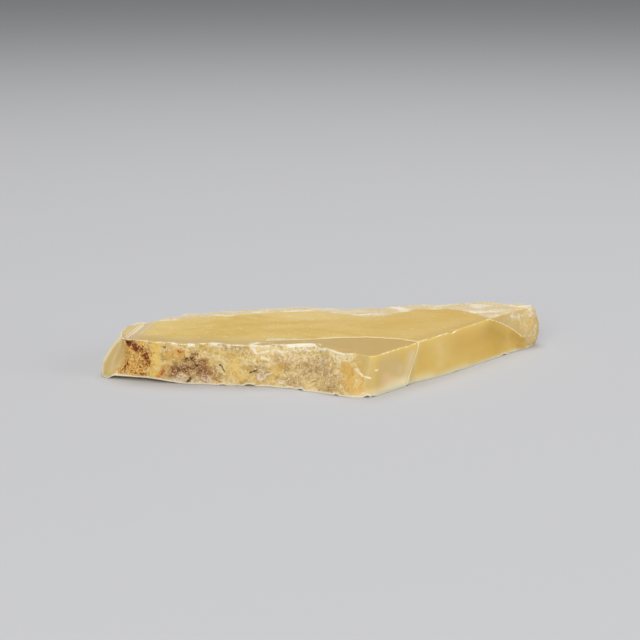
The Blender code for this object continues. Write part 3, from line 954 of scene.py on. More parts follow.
def top_painted_shade(x, y):
    """How much painted shade the upper face carries at a point: greyer on the wedge and on bands along the
    front rims, where less light comes through the stone.
    """
    band = 1.0 - ease(gap_to_line(FRONT_RIM, x, y) / FRONT_SHADE_REACH)
    split = SPLIT_SHADE * (1.0 - ease(gap_to_line(SPLIT_RIM, x, y) / SPLIT_SHADE_REACH))
    wedge = ease((height_on_line(CRACK, x) - y) / 0.06)
    left, right = WEDGE_SHADE_ENDS
    return max(band, split, wedge * ease((x - left) / 0.4) * ease((right - x) / 0.2))


def bevel_haze(x, y):
    """How lilac the upper face is at a point, between the two bevels of its left end."""
    inside = ease(left_of(*LEFT_BEVELS[0][:2], x, y) / 1.2 + 0.8)
    return inside * (1.0 - 0.6 * ease(left_of(*LEFT_BEVELS[1][:2], x, y) / 0.2 + 0.5))


# Chalky chips along the rim of the upper face: strength, half width and points.
RIM_CHALK = [
    (1.0, 0.40, (-19.7, -10.6), (-18.8, -10.7)),
    (0.8, 0.35, (-22.0, -10.1), (-21.2, -10.2)),
    (1.0, 0.40, (-16.2, -10.2), (-14.8, -10.6)),
    (0.8, 0.35, (-13.4, -11.0), (-11.8, -11.2)),
    (1.1, 0.50, (-10.5, -10.6), (-9.6, -9.8)),
    (0.7, 0.30, (-8.4, -10.4), (-7.0, -10.5)),
    (0.9, 0.30, (-8.1, -7.85), (-6.9, -7.7), (-5.8, -7.65)),
    (0.85, 0.26, (-4.9, -7.6), (-4.2, -7.5)),
    (0.75, 0.22, (-2.8, -7.25), (-2.0, -7.15)),
    (0.8, 0.26, (-3.6, -8.8), (-1.9, -9.0)),
    (0.8, 0.28, (-10.4, -9.7), (-9.4, -9.5)),
    (0.8, 0.26, (-9.0, -9.4), (-8.3, -9.6)),
    (0.7, 0.26, (-8.0, -9.5), (-7.0, -9.8)),
    (0.7, 0.26, (-0.9, -10.0), (-0.3, -11.4), (0.0, -12.4)),
    (1.0, 0.26, (-7.2, -10.7), (-4.6, -10.6)),
    (1.2, 0.28, (-4.6, -10.6), (-3.0, -10.4), (-1.8, -10.3)),
    (0.6, 0.2, (-1.4, -11.0), (-0.2, -12.5), (0.8, -13.0)),
    (1.0, 0.9, (-14.0, 10.6), (-11.2, 10.2), (-8.2, 11.4)),
    (0.9, 0.7, (-5.8, 12.2), (-2.4, 12.8)),
    (1.0, 0.9, (0.6, 12.6), (4.0, 11.8), (6.4, 11.6)),
    (0.9, 0.6, (-21.2, 8.2), (-18.4, 9.2)),
    (1.2, 0.8, (30.6, 15.0), (31.8, 15.6)),
    (0.8, 0.6, (9.6, 13.6), (12.4, 14.6)),
]
# The creamy flake on the rim beside the front corner.
CREAM_CHIP = [(1.2, 0.45, (0.9, -14.0), (2.2, -14.9), (3.5, -15.6))]
GOLDEN_FROM = (-4.0, 10.0)  # x between which the upper face turns to a deeper gold


def top_values(x, y):
    """The layers of a point of the upper face."""
    line = max(share * (1.0 - gap_to_line(points, x, y) / LINE_WIDTH) for share, points in TOP_LINES)
    return dict(
        edge=0.0, rind=rind_on_top(x, y), relief=0.5 + 0.5 * lump(x, y, 5.0, 0.7),
        pale_line=max(0.0, line), painted_shade_and_gloss=top_painted_shade(x, y), line_gap=1.0, lilac=bevel_haze(x, y),
        golden=ease((x - GOLDEN_FROM[0]) / (GOLDEN_FROM[1] - GOLDEN_FROM[0])),
        chalk=mark_strength(RIM_CHALK, x, y), cream=mark_strength(CREAM_CHIP, x, y),
    )


def under_values(x, y):
    """The layers of a point of the underside, whose rind band lies a little further out."""
    return dict(edge=0.0, rind=rind_on_top(x, y - UNDER_RIND_SHIFT), relief=0.5, line_gap=1.0)


RIM_LAYERS = ("pale_line", "painted_shade_and_gloss")  # what a vertex of the rim takes from the sawn face


def fill_face(skin, edge, height, values, step, line_points, upward):
    """Covers the inside of a closed row of vertices, finely along its edge and coarsely inside."""
    rim = [v.co.xy for v in edge]
    rim_tree = tree_of(rim)
    clear = LINE_WIDTH * 0.7
    lines = [p for p in inside_only(line_points, rim) if rim_tree.find((p.x, p.y, 0.0))[2] > clear]
    lines = thinned(lines, LINE_WIDTH * 0.45)
    fixed = rim + lines
    fixed_tree = tree_of(fixed)
    inner = []
    for point, row, column in grid_inside(rim, step):
        gap = fixed_tree.find((point.x, point.y, 0.0))[2]
        to_rim = rim_tree.find((point.x, point.y, 0.0))[2]
        coarse = 1 if to_rim < NEAR_EDGE or gap < 3 * step else 2 if to_rim < 2.5 * NEAR_EDGE else 4
        if gap > step * 0.55 and row % coarse == 0 and column % coarse == 0:
            inner.append(point)
    flat = fixed + inner
    points, _, triangles, sources, _, _ = delaunay_2d_cdt(flat, [], [list(range(len(rim)))], 1, 1e-6)
    verts = []
    for point, source in zip(points, sources):
        if source and source[0] < len(rim):
            vert = edge[source[0]]
            for name, value in values(point.x, point.y).items():
                if name in RIM_LAYERS:
                    vert[skin.layers[name]] = value
            verts.append(vert)
        else:
            x, y = point.x, point.y
            verts.append(skin.vertex(x, y, height(x, y), **values(x, y)))
    for triangle in triangles:
        corners = [verts[i] for i in triangle]
        skin.face(corners if upward else corners[::-1], SAWN)


def settle_in_frame(skin):
    """Brings the skin to the solid's place, and no part of it outside the solid's box."""
    mesh = skin.mesh
    low, high = (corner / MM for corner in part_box(NODE))
    middle = (low + high) / 2
    xs, ys = [v.co.x for v in mesh.verts], [v.co.y for v in mesh.verts]
    shift = Vector((middle.x - (min(xs) + max(xs)) / 2, middle.y - (min(ys) + max(ys)) / 2, 0.0))
    for vert in mesh.verts:
        for axis in range(3):
            vert.co[axis] = min(high[axis], max(low[axis], vert.co[axis] + shift[axis]))
    bmesh.ops.scale(mesh, vec=(MM, MM, MM), verts=mesh.verts)


# ---------------------------------------------------------------- materials


def tone(red, green, blue):
    """A colour as the eye reads it, 0 to 255, turned into the linear values a shader takes."""
    return tuple((c / 255) ** 2.2 for c in (red, green, blue)) + (1.0,)


HONEY = tone(218, 184, 104)
HONEY_PALE = tone(228, 200, 132)
HONEY_DEEP = tone(206, 164, 82)
# grey tan of the painted shade on the wedge and along the front rims of the upper face
PAINTED_SHADE_TAN = tone(194, 167, 114)
CREAM_GLOW = tone(255, 236, 194)
GREY_GLOW = tone(216, 190, 134)
PINK_GLOW = tone(240, 204, 160)
AMBER = tone(215, 172, 76)
# tint of painted shade at the split face's far end and on the rind beside it
TEA_BROWN = tone(188, 146, 60)
CHALK = tone(250, 244, 226)
RIND_CREAM = tone(216, 194, 152)
RIND_LILAC = tone(192, 172, 148)
RIND_TAN = tone(212, 186, 138)
FROST = tone(250, 238, 208)
RUST_TAN = tone(255, 204, 106)
RUST_RED = tone(134, 54, 8)
RUST_DARK = tone(52, 20, 6)
ORANGE = tone(222, 130, 22)
MAUVE_TAN = tone(177, 116, 68)
MAUVE = tone(100, 50, 24)
LILAC = tone(238, 222, 206)
GOLD = tone(226, 178, 86)
GRIT_CREAM = tone(234, 208, 154)
GRIT_TAN = tone(169, 131, 76)
OLIVE = tone(86, 52, 22)
CLEAR_GOLD = tone(230, 193, 88)
# painted shade of the nose and of the front corner
DUSKY = tone(206, 182, 128)
BEVEL_LILAC = tone(206, 184, 152)
FLAKE_CREAM = tone(242, 222, 174)
CRUMB_CREAM = tone(246, 228, 180)
CRUMB_BROWN = tone(142, 102, 52)
CLEAN_YELLOW = tone(240, 200, 92)
DUN = tone(186, 151, 98)
SPECK_BROWN = tone(78, 42, 20)
RIND_HONEY = tone(208, 174, 100)


class Wiring:
    """Adds nodes to one tree and links them, so that a material reads as a list of steps."""

    def __init__(self, tree):
        """Keeps the tree that it adds to."""
        self.tree = tree

    def put(self, socket, value):
        """Links an output to a socket, or sets the socket to a plain value."""
        if hasattr(value, "is_linked"):
            self.tree.links.new(value, socket)
        else:
            socket.default_value = value

    def add(self, kind, **settings):
        """A new node with its settings."""
        made = self.tree.nodes.new(kind)
        for name, value in settings.items():
            setattr(made, name, value)
        return made

    def layer(self, name):
        """The slab's own values of a layer."""
        return self.add("ShaderNodeAttribute", attribute_name=name).outputs["Fac"]

    def place(self):
        """Where a point of the slab is, in metres."""
        return self.add("ShaderNodeTexCoord").outputs["Object"]

    def stretched(self, vector, scale):
        """A place scaled along each axis: below 1, features there grow longer."""
        node = self.add("ShaderNodeMapping")
        self.put(node.inputs["Vector"], vector)
        node.inputs["Scale"].default_value = scale
        return node.outputs["Vector"]

    def cloud(self, vector, length, detail=3.0, rough=0.5, warp=0.0):
        """Noise from 0 to 1 with features about as long as length, in millimetres."""
        node = self.add("ShaderNodeTexNoise")
        self.put(node.inputs["Vector"], vector)
        node.inputs["Scale"].default_value = 1.0 / (length * MM)
        node.inputs["Detail"].default_value = detail
        node.inputs["Roughness"].default_value = rough
        node.inputs["Distortion"].default_value = warp
        return node.outputs["Fac"]

    def warped(self, vector, length, reach):
        """A place shifted by noise, by up to half of reach each way, in millimetres."""
        node = self.add("ShaderNodeTexNoise")
        self.put(node.inputs["Vector"], vector)
        node.inputs["Scale"].default_value = 1.0 / (length * MM)
        shift = self.add("ShaderNodeVectorMath", operation="MULTIPLY_ADD")
        self.put(shift.inputs[0], node.outputs["Color"])
        shift.inputs[1].default_value = (reach * MM,) * 3
        self.put(shift.inputs[2], vector)
        return shift.outputs["Vector"]

    def cells(self, vector, length):
        """A random value from 0 to 1 for each cell, about as long as length, in millimetres."""
        node = self.add("ShaderNodeTexVoronoi")
        self.put(node.inputs["Vector"], vector)
        node.inputs["Scale"].default_value = 1.0 / (length * MM)
        parts = self.add("ShaderNodeSeparateColor")
        self.put(parts.inputs[0], node.outputs["Color"])
        return parts.outputs[0]

    def math(self, operation, a, b=0.0):
        """One step of arithmetic."""
        node = self.add("ShaderNodeMath", operation=operation)
        self.put(node.inputs[0], a)
        self.put(node.inputs[1], b)
        return node.outputs[0]

    def wave(self, *settings):
        """Noise from -0.5 to 0.5, with the settings of cloud."""
        return self.math("SUBTRACT", self.cloud(*settings), 0.5)

    def larger(self, a, b):
        return self.math("MAXIMUM", a, b)

    def times(self, a, b):
        return self.math("MULTIPLY", a, b)

    def plus(self, a, b):
        return self.math("ADD", a, b)

    def fade(self, value, low, high):
        """0 at low and 1 at high, eased; low may be above high."""
        node = self.add("ShaderNodeMapRange", interpolation_type="SMOOTHSTEP")
        self.put(node.inputs["Value"], value)
        limits, ends = ((low, high), (0.0, 1.0)) if low < high else ((high, low), (1.0, 0.0))
        node.inputs["From Min"].default_value, node.inputs["From Max"].default_value = limits
        node.inputs["To Min"].default_value, node.inputs["To Max"].default_value = ends
        return node.outputs["Result"]

    def blend(self, share, first, second):
        """first where share is 0, second where it is 1."""
        node = self.add("ShaderNodeMix", data_type="RGBA")
        self.put(node.inputs[0], share)
        self.put(node.inputs[6], first)
        self.put(node.inputs[7], second)
        return node.outputs[2]

    def amount(self, share, first, second):
        """The same for plain numbers."""
        node = self.add("ShaderNodeMix", data_type="FLOAT")
        self.put(node.inputs[0], share)
        self.put(node.inputs[2], first)
        self.put(node.inputs[3], second)
        return node.outputs[0]

    def lay(self, base, name, tint, wave, raggedness, low, high, cover):
        """Lays a tint over a colour where its layer is strong, with a ragged outline."""
        share = self.plus(self.layer(name), self.times(wave, raggedness))
        return self.blend(self.times(self.fade(share, low, high), cover), base, tint)


def new_group(name, inputs, outputs):
    """An empty shader group with named sockets, and the wiring of its inside."""
    group = bpy.data.node_groups.new(name, "ShaderNodeTree")
    for socket, kind in inputs:
        group.interface.new_socket(name=socket, in_out="INPUT", socket_type=kind)
    for socket, kind in outputs:
        group.interface.new_socket(name=socket, in_out="OUTPUT", socket_type=kind)
    wires = Wiring(group)
    return group, wires, wires.add("NodeGroupInput").outputs, wires.add("NodeGroupOutput").inputs


NUMBER = "NodeSocketFloat"
COLOUR = "NodeSocketColor"


def rind_group():
    """Lays the chalky rind over a colour: cream with lilac-grey and tan flecks, and painted shade of tan in
    its low places.
    """
    group, wires, ins, outs = new_group(
        "chalky_rind",
        [("Base", COLOUR), ("Share", NUMBER), ("Relief", NUMBER), ("Cover", NUMBER), ("Patches", NUMBER)],
        [("Color", COLOUR), ("Mask", NUMBER), ("Bump", NUMBER)],
    )
    place = wires.place()
    broad = wires.cloud(wires.stretched(place, (0.6, 1.0, 1.0)), 2.1, 4.0, 0.55, 0.5)
    flecks = wires.cloud(wires.stretched(place, (0.7, 1.0, 1.0)), 0.9, 4.0, 0.6, 0.8)
    fine = wires.cloud(place, 0.26, 3.0, 0.6)
    patches = ins["Patches"]
    colour = wires.blend(wires.amount(patches, 0.7, wires.fade(broad, 0.34, 0.54)), RIND_TAN, RIND_CREAM)
    # lilac-grey flecks: partly the crust's own tint, partly painted shade between its white streaks
    lilac = wires.times(wires.fade(flecks, 0.50, 0.66), wires.amount(patches, 0.1, 0.35))
    colour = wires.blend(lilac, colour, RIND_LILAC)
    white = wires.times(wires.fade(broad, 0.50, 0.68), wires.times(patches, 0.7))
    colour = wires.blend(white, colour, CHALK)
    frosted = wires.times(wires.fade(fine, 0.52, 0.70), wires.amount(patches, 1.0, 0.7))
    colour = wires.blend(frosted, colour, CHALK)
    # tan where the crust lies low: painted shade between its knobs
    low = wires.fade(ins["Relief"], 0.45, 0.10)
    colour = wires.blend(wires.times(low, wires.amount(patches, 0.15, 0.45)), colour, RIND_TAN)
    ragged = ins["Share"]
    for pattern, raggedness in ((flecks, 1.1), (fine, 0.4)):
        ragged = wires.plus(ragged, wires.times(wires.math("SUBTRACT", pattern, 0.5), raggedness))
    mask = wires.fade(ragged, 0.34, 0.72)
    wires.put(outs["Color"], wires.blend(wires.times(mask, ins["Cover"]), ins["Base"], colour))
    wires.put(outs["Mask"], mask)
    wires.put(outs["Bump"], wires.plus(flecks, wires.times(fine, 0.6)))
    return group


def frost_and_glow_group():
    """Lays the pale frosting of chipped edges and of the pale lines over a colour; along the lower edge it
    also paints the glow of light through the stone.
    """
    group, wires, ins, outs = new_group(
        "frost_and_glow_edge",
        [("Base", COLOUR), ("Edge", NUMBER), ("Line", NUMBER)],
        [("Color", COLOUR), ("Mask", NUMBER)],
    )
    broken = wires.cloud(wires.place(), 0.28, 3.0, 0.7)
    edge = wires.fade(wires.plus(ins["Edge"], wires.times(broken, 1.2)), 1.0, 1.55)
    line = wires.fade(wires.plus(ins["Line"], wires.times(broken, 0.6)), 0.55, 1.0)
    mask = wires.larger(wires.times(edge, 0.85), wires.times(line, 0.85))
    wires.put(outs["Color"], wires.blend(mask, ins["Base"], FROST))
    wires.put(outs["Mask"], mask)
    return group


def chalk_group():
    """Lays pale chips over a colour: white chalk, and a creamier flake with dark pores."""
    group, wires, ins, outs = new_group(
        "chalky_chips", [("Base", COLOUR), ("Chalk", NUMBER), ("Flake", NUMBER)],
        [("Color", COLOUR), ("Mask", NUMBER)],
    )
    speckle = wires.wave(wires.place(), 0.36, 4.0, 0.75, 0.8)
    pores = wires.fade(speckle, -0.03, -0.12)
    flake = wires.fade(wires.plus(ins["Flake"], wires.times(speckle, 0.6)), 0.46, 0.60)
    cream = wires.blend(wires.times(pores, 0.75), FLAKE_CREAM, CRUMB_BROWN)
    chalk = wires.fade(wires.plus(ins["Chalk"], wires.times(speckle, 2.2)), 0.50, 1.05)
    colour = wires.blend(wires.times(flake, 0.85), ins["Base"], cream)
    wires.put(outs["Color"], wires.blend(wires.times(chalk, 0.9), colour, CHALK))
    wires.put(outs["Mask"], wires.larger(chalk, flake))
    return group


def honey_group():
    """The body colour of the opal: clouds of pale and deep honey, with a few pale flecks."""
    group, wires, ins, outs = new_group("honey_body", [("Flecks", NUMBER)], [("Color", COLOUR)])
    place = wires.place()
    wide = wires.cloud(wires.stretched(place, (0.6, 1.0, 0.8)), 8.0, 3.0, 0.5, 0.4)
    small = wires.cloud(wires.stretched(place, (0.7, 1.0, 1.0)), 1.3, 4.0, 0.6)
    level = wires.plus(wires.times(wide, 0.78), wires.times(small, 0.22))
    colour = wires.blend(wires.fade(level, 0.40, 0.68), HONEY, HONEY_PALE)
    colour = wires.blend(wires.times(wires.fade(level, 0.50, 0.34), 0.55), colour, HONEY_DEEP)
    crumbs = wires.cloud(wires.stretched(place, (0.7, 1.0, 1.0)), 0.45, 3.0, 0.7, 0.5)
    fleck = wires.fade(crumbs, 0.60, 0.68)
    wires.put(outs["Color"], wires.blend(wires.times(fleck, ins["Flecks"]), colour, FROST))
    return group


def glow_group():
    """Tints of the light inside the clear stone, each with its own layer."""
    group, wires, ins, outs = new_group("inner_light", [("Base", COLOUR)], [("Color", COLOUR)])
    colour = wires.blend(0.5, ins["Base"], CLEAR_GOLD)
    # these tints are painted light and shade inside the stone: pale is painted glow, dusky and brown are
    # painted shade, and golden, grey and pink tint that light
    for name, tint, most in (
        ("golden", AMBER, 0.7), ("brown", TEA_BROWN, 0.75), ("grey", GREY_GLOW, 0.8),
        ("pink", PINK_GLOW, 0.7), ("dusky", DUSKY, 0.9), ("pale", CREAM_GLOW, 0.9),
    ):
        colour = wires.blend(wires.times(wires.fade(wires.layer(name), 0.3, 1.0), most), colour, tint)
    wires.put(outs["Color"], colour)
    return group


def stroke_group():
    """Lays thin dark cracks and thin pale threads over a colour."""
    group, wires, ins, outs = new_group("cracks_and_threads", [("Base", COLOUR)], [("Color", COLOUR)])
    speckle = wires.times(wires.wave(wires.place(), 0.30, 3.0, 0.6), 1.6)
    colour = ins["Base"]
    for name, tint, most in (("dark_stroke", OLIVE, 0.85), ("light_stroke", FROST, 0.9)):
        mask = wires.fade(wires.plus(wires.layer(name), speckle), 0.50, 0.90)
        colour = wires.blend(wires.times(mask, most), colour, tint)
    wires.put(outs["Color"], colour)
    return group


def use_group(wires, group, **inputs):
    """Places a group in a material with its own values."""
    node = wires.add("ShaderNodeGroup")
    node.node_tree = group
    for name, value in inputs.items():
        wires.put(node.inputs[name], value)
    return node.outputs


OPAL_IOR = 1.45
OPAL_GLOSS = 0.4
SAWN_GLOSS = 0.25
REACH_BY_COLOUR = (1.0, 0.96, 0.85)  # how far red, green and blue light spread in the stone


def new_material(name, clear, reach):
    """A stone that lets light in, by how clear it is and how far light reaches, in millimetres."""
    material = bpy.data.materials.new(name)
    material.use_nodes = True
    shader = material.node_tree.nodes["Principled BSDF"]
    shader.inputs["IOR"].default_value = OPAL_IOR
    shader.inputs["Specular IOR Level"].default_value = OPAL_GLOSS
    shader.inputs["Subsurface Weight"].default_value = clear
    shader.inputs["Subsurface Radius"].default_value = REACH_BY_COLOUR
    shader.inputs["Subsurface Scale"].default_value = reach * MM
    return material, shader, Wiring(material.node_tree)


def bump(wires, shader, height, distance, strength):
    """Turns a height into fine relief, its distance in millimetres."""
    node = wires.add("ShaderNodeBump")
    node.inputs["Strength"].default_value = strength
    node.inputs["Distance"].default_value = distance * MM
    wires.put(node.inputs["Height"], height)
    wires.put(shader.inputs["Normal"], node.outputs["Normal"])


def sawn_material(groups):
    """The sawn faces: satin honey, greyer with painted shade and glossier on the wedge, with rind along the
    back.
    """
    material, shader, wires = new_material("sawn_opal", 0.9, 2.2)
    shader.inputs["Specular IOR Level"].default_value = SAWN_GLOSS
    place = wires.place()
    painted_shade_and_gloss = wires.layer("painted_shade_and_gloss")
    body = use_group(wires, groups["honey"], Flecks=0.7)
    uneven = wires.amount(wires.cloud(place, 3.0, 4.0, 0.6, 0.5), 0.75, 1.0)
    # painted shade: the wedge and the bands along the front rims turn greyer, where less light comes
    # through the stone; the same layer makes them glossier below
    colour = wires.blend(wires.times(painted_shade_and_gloss, uneven), body["Color"], PAINTED_SHADE_TAN)
    colour = wires.blend(wires.times(wires.layer("lilac"), 0.7), colour, BEVEL_LILAC)
    colour = wires.blend(wires.amount(wires.layer("golden"), 0.15, 0.5), colour, HONEY_DEEP)
    scratches = wires.cloud(wires.stretched(place, (0.10, 1.0, 1.0)), 0.30, 2.0, 0.5)
    colour = wires.blend(wires.times(wires.fade(scratches, 0.56, 0.72), 0.15), colour, HONEY_PALE)
    chips = use_group(
        wires, groups["chalk"], Base=colour, Chalk=wires.layer("chalk"), Flake=wires.layer("cream")
    )
    rind = use_group(
        wires, groups["rind"], Base=chips["Color"], Share=wires.layer("rind"),
        Relief=wires.layer("relief"), Cover=0.88, Patches=1.0,
    )
    edge = use_group(
        wires, groups["frost"], Base=rind["Color"], Edge=wires.layer("edge"),
        Line=wires.layer("pale_line"),
    )
    wires.put(shader.inputs["Base Color"], edge["Color"])
    satin = wires.amount(painted_shade_and_gloss, wires.amount(scratches, 0.48, 0.66), wires.amount(scratches, 0.36, 0.50))
    dull = wires.larger(rind["Mask"], wires.larger(edge["Mask"], chips["Mask"]))
    wires.put(shader.inputs["Roughness"], wires.amount(dull, satin, 0.85))
    grain = wires.cloud(place, 0.16, 2.0, 0.6)
    relief = wires.plus(wires.times(grain, 0.22), wires.times(scratches, 0.2))
    crust = wires.times(wires.plus(rind["Bump"], grain), dull)
    bump(wires, shader, wires.plus(relief, crust), 0.10, 0.5)
    return material


def split_material(groups):
    """The split face and the nose: clear glossy honey with the light inside it."""
    material, shader, wires = new_material("split_opal", 0.85, 1.6)
    place = wires.place()
    body = use_group(wires, groups["honey"], Flecks=0.1)
    lit = use_group(wires, groups["glow"], Base=body["Color"])
    marked = use_group(wires, groups["strokes"], Base=lit["Color"])
    axes = wires.add("ShaderNodeSeparateXYZ")
    wires.put(axes.inputs[0], place)
    left = wires.fade(axes.outputs["X"], 22.0 * MM, 20.0 * MM)
    fading = wires.larger(left, wires.fade(axes.outputs["Z"], 1.2 * MM, 3.0 * MM))
    line = wires.fade(wires.math("ABSOLUTE", wires.layer("line_gap")), 0.14, 0.05)
    edge = use_group(
        wires, groups["frost"], Base=marked["Color"], Edge=wires.layer("edge"),
        Line=wires.times(line, fading),
    )
    wires.put(shader.inputs["Base Color"], edge["Color"])
    gloss = wires.amount(wires.cloud(place, 1.6, 3.0, 0.6), 0.26, 0.42)
    wires.put(shader.inputs["Roughness"], wires.amount(edge["Mask"], gloss, 0.75))
    ripples = wires.times(wires.cloud(place, 0.25, 3.0, 0.6), 0.10)
    bump(wires, shader, wires.plus(ripples, wires.times(edge["Mask"], 0.3)), 0.10, 0.5)
    return material


def broken_grain(wires, place, rough, blotch, colour):
    """Grit, flakes and crumbs over the colour of the broken front, and mauve under its curls."""
    threads = wires.cloud(place, 0.36, 3.0, 0.6, 2.2)
    grit = wires.blend(wires.fade(threads, 0.38, 0.64), GRIT_TAN, GRIT_CREAM)
    colour = wires.lay(colour, "grit", grit, blotch, 1.6, 0.30, 1.05, 0.8)
    colour = wires.lay(colour, "dun", DUN, blotch, 1.8, 0.35, 0.95, 0.7)
    colour = wires.lay(colour, "clean", CLEAN_YELLOW, blotch, 0.8, 0.40, 0.85, 0.75)
    calm = wires.fade(wires.layer("clean"), 0.9, 0.3)
    gritty = wires.fade(wires.layer("grit"), 0.2, 0.7)
    flakes = wires.cells(wires.warped(wires.stretched(place, (0.8, 0.8, 1.3)), 0.7, 1.0), 1.0)
    flaky = wires.times(wires.times(wires.amount(gritty, 0.42, 0.18), calm), rough)
    colour = wires.blend(wires.times(wires.fade(flakes, 0.60, 0.90), flaky), colour, CRUMB_CREAM)
    colour = wires.blend(wires.times(wires.fade(flakes, 0.35, 0.08), flaky), colour, GRIT_TAN)
    crumbs = wires.cloud(place, 0.50, 3.0, 0.65, 1.6)
    grainy = wires.larger(wires.fade(wires.cloud(place, 2.6, 2.0, 0.5), 0.44, 0.58), gritty)
    grainy = wires.times(wires.times(wires.amount(grainy, 0.2, 0.95), calm), rough)
    pale = wires.times(wires.times(wires.fade(crumbs, 0.53, 0.66), 0.7), grainy)
    deep = wires.times(wires.times(wires.fade(crumbs, 0.45, 0.32), 0.5), grainy)
    colour = wires.blend(deep, wires.blend(pale, colour, CRUMB_CREAM), CRUMB_BROWN)
    mauve = wires.blend(wires.fade(threads, 0.40, 0.58), MAUVE, MAUVE_TAN)
    colour = wires.lay(colour, "mauve", mauve, blotch, 1.8, 0.40, 0.95, 0.9)
    curls = wires.fade(wires.math("ABSOLUTE", wires.wave(place, 0.8, 2.0, 0.5, 1.5)), 0.032, 0.008)
    curled = wires.times(curls, wires.times(wires.fade(crumbs, 0.40, 0.54), rough))
    return wires.blend(wires.times(curled, 0.85), colour, CRUMB_CREAM)


def front_stains(wires, place, blotch, colour):
    """Lilac, gold, rust, orange and dark specks over the colour of the broken front."""
    speckle = wires.wave(place, 0.34, 4.0, 0.7, 1.0)
    clots = wires.wave(place, 0.60, 4.0, 0.75, 1.2)
    veins = wires.math("ABSOLUTE", wires.wave(place, 0.55, 3.0, 0.6, 0.8))
    stained = wires.larger(wires.fade(veins, 0.045, 0.010), wires.fade(speckle, 0.03, 0.12))
    rust = wires.blend(wires.times(stained, 0.8), RUST_TAN, RUST_RED)
    mottled = wires.plus(wires.times(blotch, 1.4), wires.times(clots, 1.8))
    for stain in (
        ("lilac", LILAC, speckle, 3.2, 0.60, 1.10, 0.85),
        ("gold", GOLD, blotch, 1.6, 0.40, 0.95, 0.75),
        ("rust", rust, blotch, 2.0, 0.40, 0.80, 0.9),
        ("orange", ORANGE, mottled, 1.3, 0.35, 1.25, 0.8),
        ("rust_specks", RUST_RED, clots, 3.4, 0.70, 1.00, 0.95),
        ("rust_specks", RUST_DARK, clots, 3.4, 1.15, 1.40, 1.0),
        ("dark_specks", SPECK_BROWN, clots, 3.6, 0.80, 1.15, 0.9),
    ):
        colour = wires.lay(colour, *stain)
    return colour


def broken_material(groups):
    """The rough front: wispy broken stone, with rust, mauve and chalk in it."""
    material, shader, wires = new_material("broken_opal", 0.42, 0.4)
    place = wires.place()
    rough = wires.layer("rough")
    body = use_group(wires, groups["honey"], Flecks=0.2)
    lit = use_group(wires, groups["glow"], Base=body["Color"])
    # cream on the raised threads and tan in the hollows between them: the threads' own pale tint, and
    # painted shade in the hollows
    threads_and_hollow_shade = wires.blend(wires.fade(wires.layer("relief"), 0.20, 0.80), GRIT_TAN, GRIT_CREAM)
    colour = wires.blend(wires.times(rough, 0.42), lit["Color"], threads_and_hollow_shade)
    blotch = wires.wave(place, 0.9, 4.0, 0.65, 0.6)
    colour = broken_grain(wires, place, rough, blotch, colour)
    colour = front_stains(wires, place, blotch, colour)
    marked = use_group(wires, groups["strokes"], Base=colour)
    chips = use_group(
        wires, groups["chalk"], Base=marked["Color"], Chalk=wires.layer("chalk"),
        Flake=wires.layer("cream"),
    )
    edge = use_group(wires, groups["frost"], Base=chips["Color"], Edge=wires.layer("edge"), Line=0.0)
    wires.put(shader.inputs["Base Color"], edge["Color"])
    dull = wires.larger(rough, wires.larger(chips["Mask"], edge["Mask"]))
    wires.put(shader.inputs["Roughness"], wires.amount(dull, 0.34, 0.68))
    fine = wires.times(wires.cloud(place, 0.20, 3.0, 0.65), wires.amount(dull, 0.08, 1.0))
    bump(wires, shader, fine, 0.15, 0.8)
    return material


# Where the thin rind of the tip turns to the thick chalky one behind it, in y or in x.
THICK_RIND_Y = (15.0, 18.5)
THICK_RIND_X = (25.5, 22.5)


def crust_material(groups):
    """The rind's wall: knobbly chalk over honey, thin and half clear at the tip."""
    material, shader, wires = new_material("rind_crust", 0.45, 1.2)
    place = wires.place()
    body = use_group(wires, groups["honey"], Flecks=0.2)
    # painted shade: the brown tint of the light inside the stone, darker towards the tip
    brown_shade = wires.times(wires.fade(wires.layer("brown"), 0.3, 1.0), 0.6)
    base = wires.blend(brown_shade, wires.blend(0.5, body["Color"], RIND_HONEY), TEA_BROWN)
    axes = wires.add("ShaderNodeSeparateXYZ")
    wires.put(axes.inputs[0], place)
    behind = wires.larger(
        wires.fade(axes.outputs["Y"], *(edge * MM for edge in THICK_RIND_Y)),
        wires.fade(axes.outputs["X"], *(edge * MM for edge in THICK_RIND_X)),
    )
    rind = use_group(
        wires, groups["rind"], Base=base, Share=wires.layer("rind"),
        Relief=wires.layer("relief"), Cover=wires.amount(behind, 0.42, 0.80),
        Patches=wires.amount(behind, 0.35, 1.0),
    )
    chips = use_group(wires, groups["chalk"], Base=rind["Color"], Chalk=wires.layer("chalk"), Flake=0.0)
    edge = use_group(wires, groups["frost"], Base=chips["Color"], Edge=wires.layer("edge"), Line=0.0)
    wires.put(shader.inputs["Base Color"], edge["Color"])
    wires.put(shader.inputs["Roughness"], wires.amount(rind["Mask"], 0.45, 0.85))
    fine = wires.times(wires.cloud(place, 0.20, 3.0, 0.65), 0.6)
    bump(wires, shader, wires.plus(fine, wires.times(rind["Bump"], rind["Mask"])), 0.14, 0.6)
    return material


# ---------------------------------------------------------------- the piece and its studio


SHARP_FROM = 40.0  # degrees between two faces from which their edge is sharp


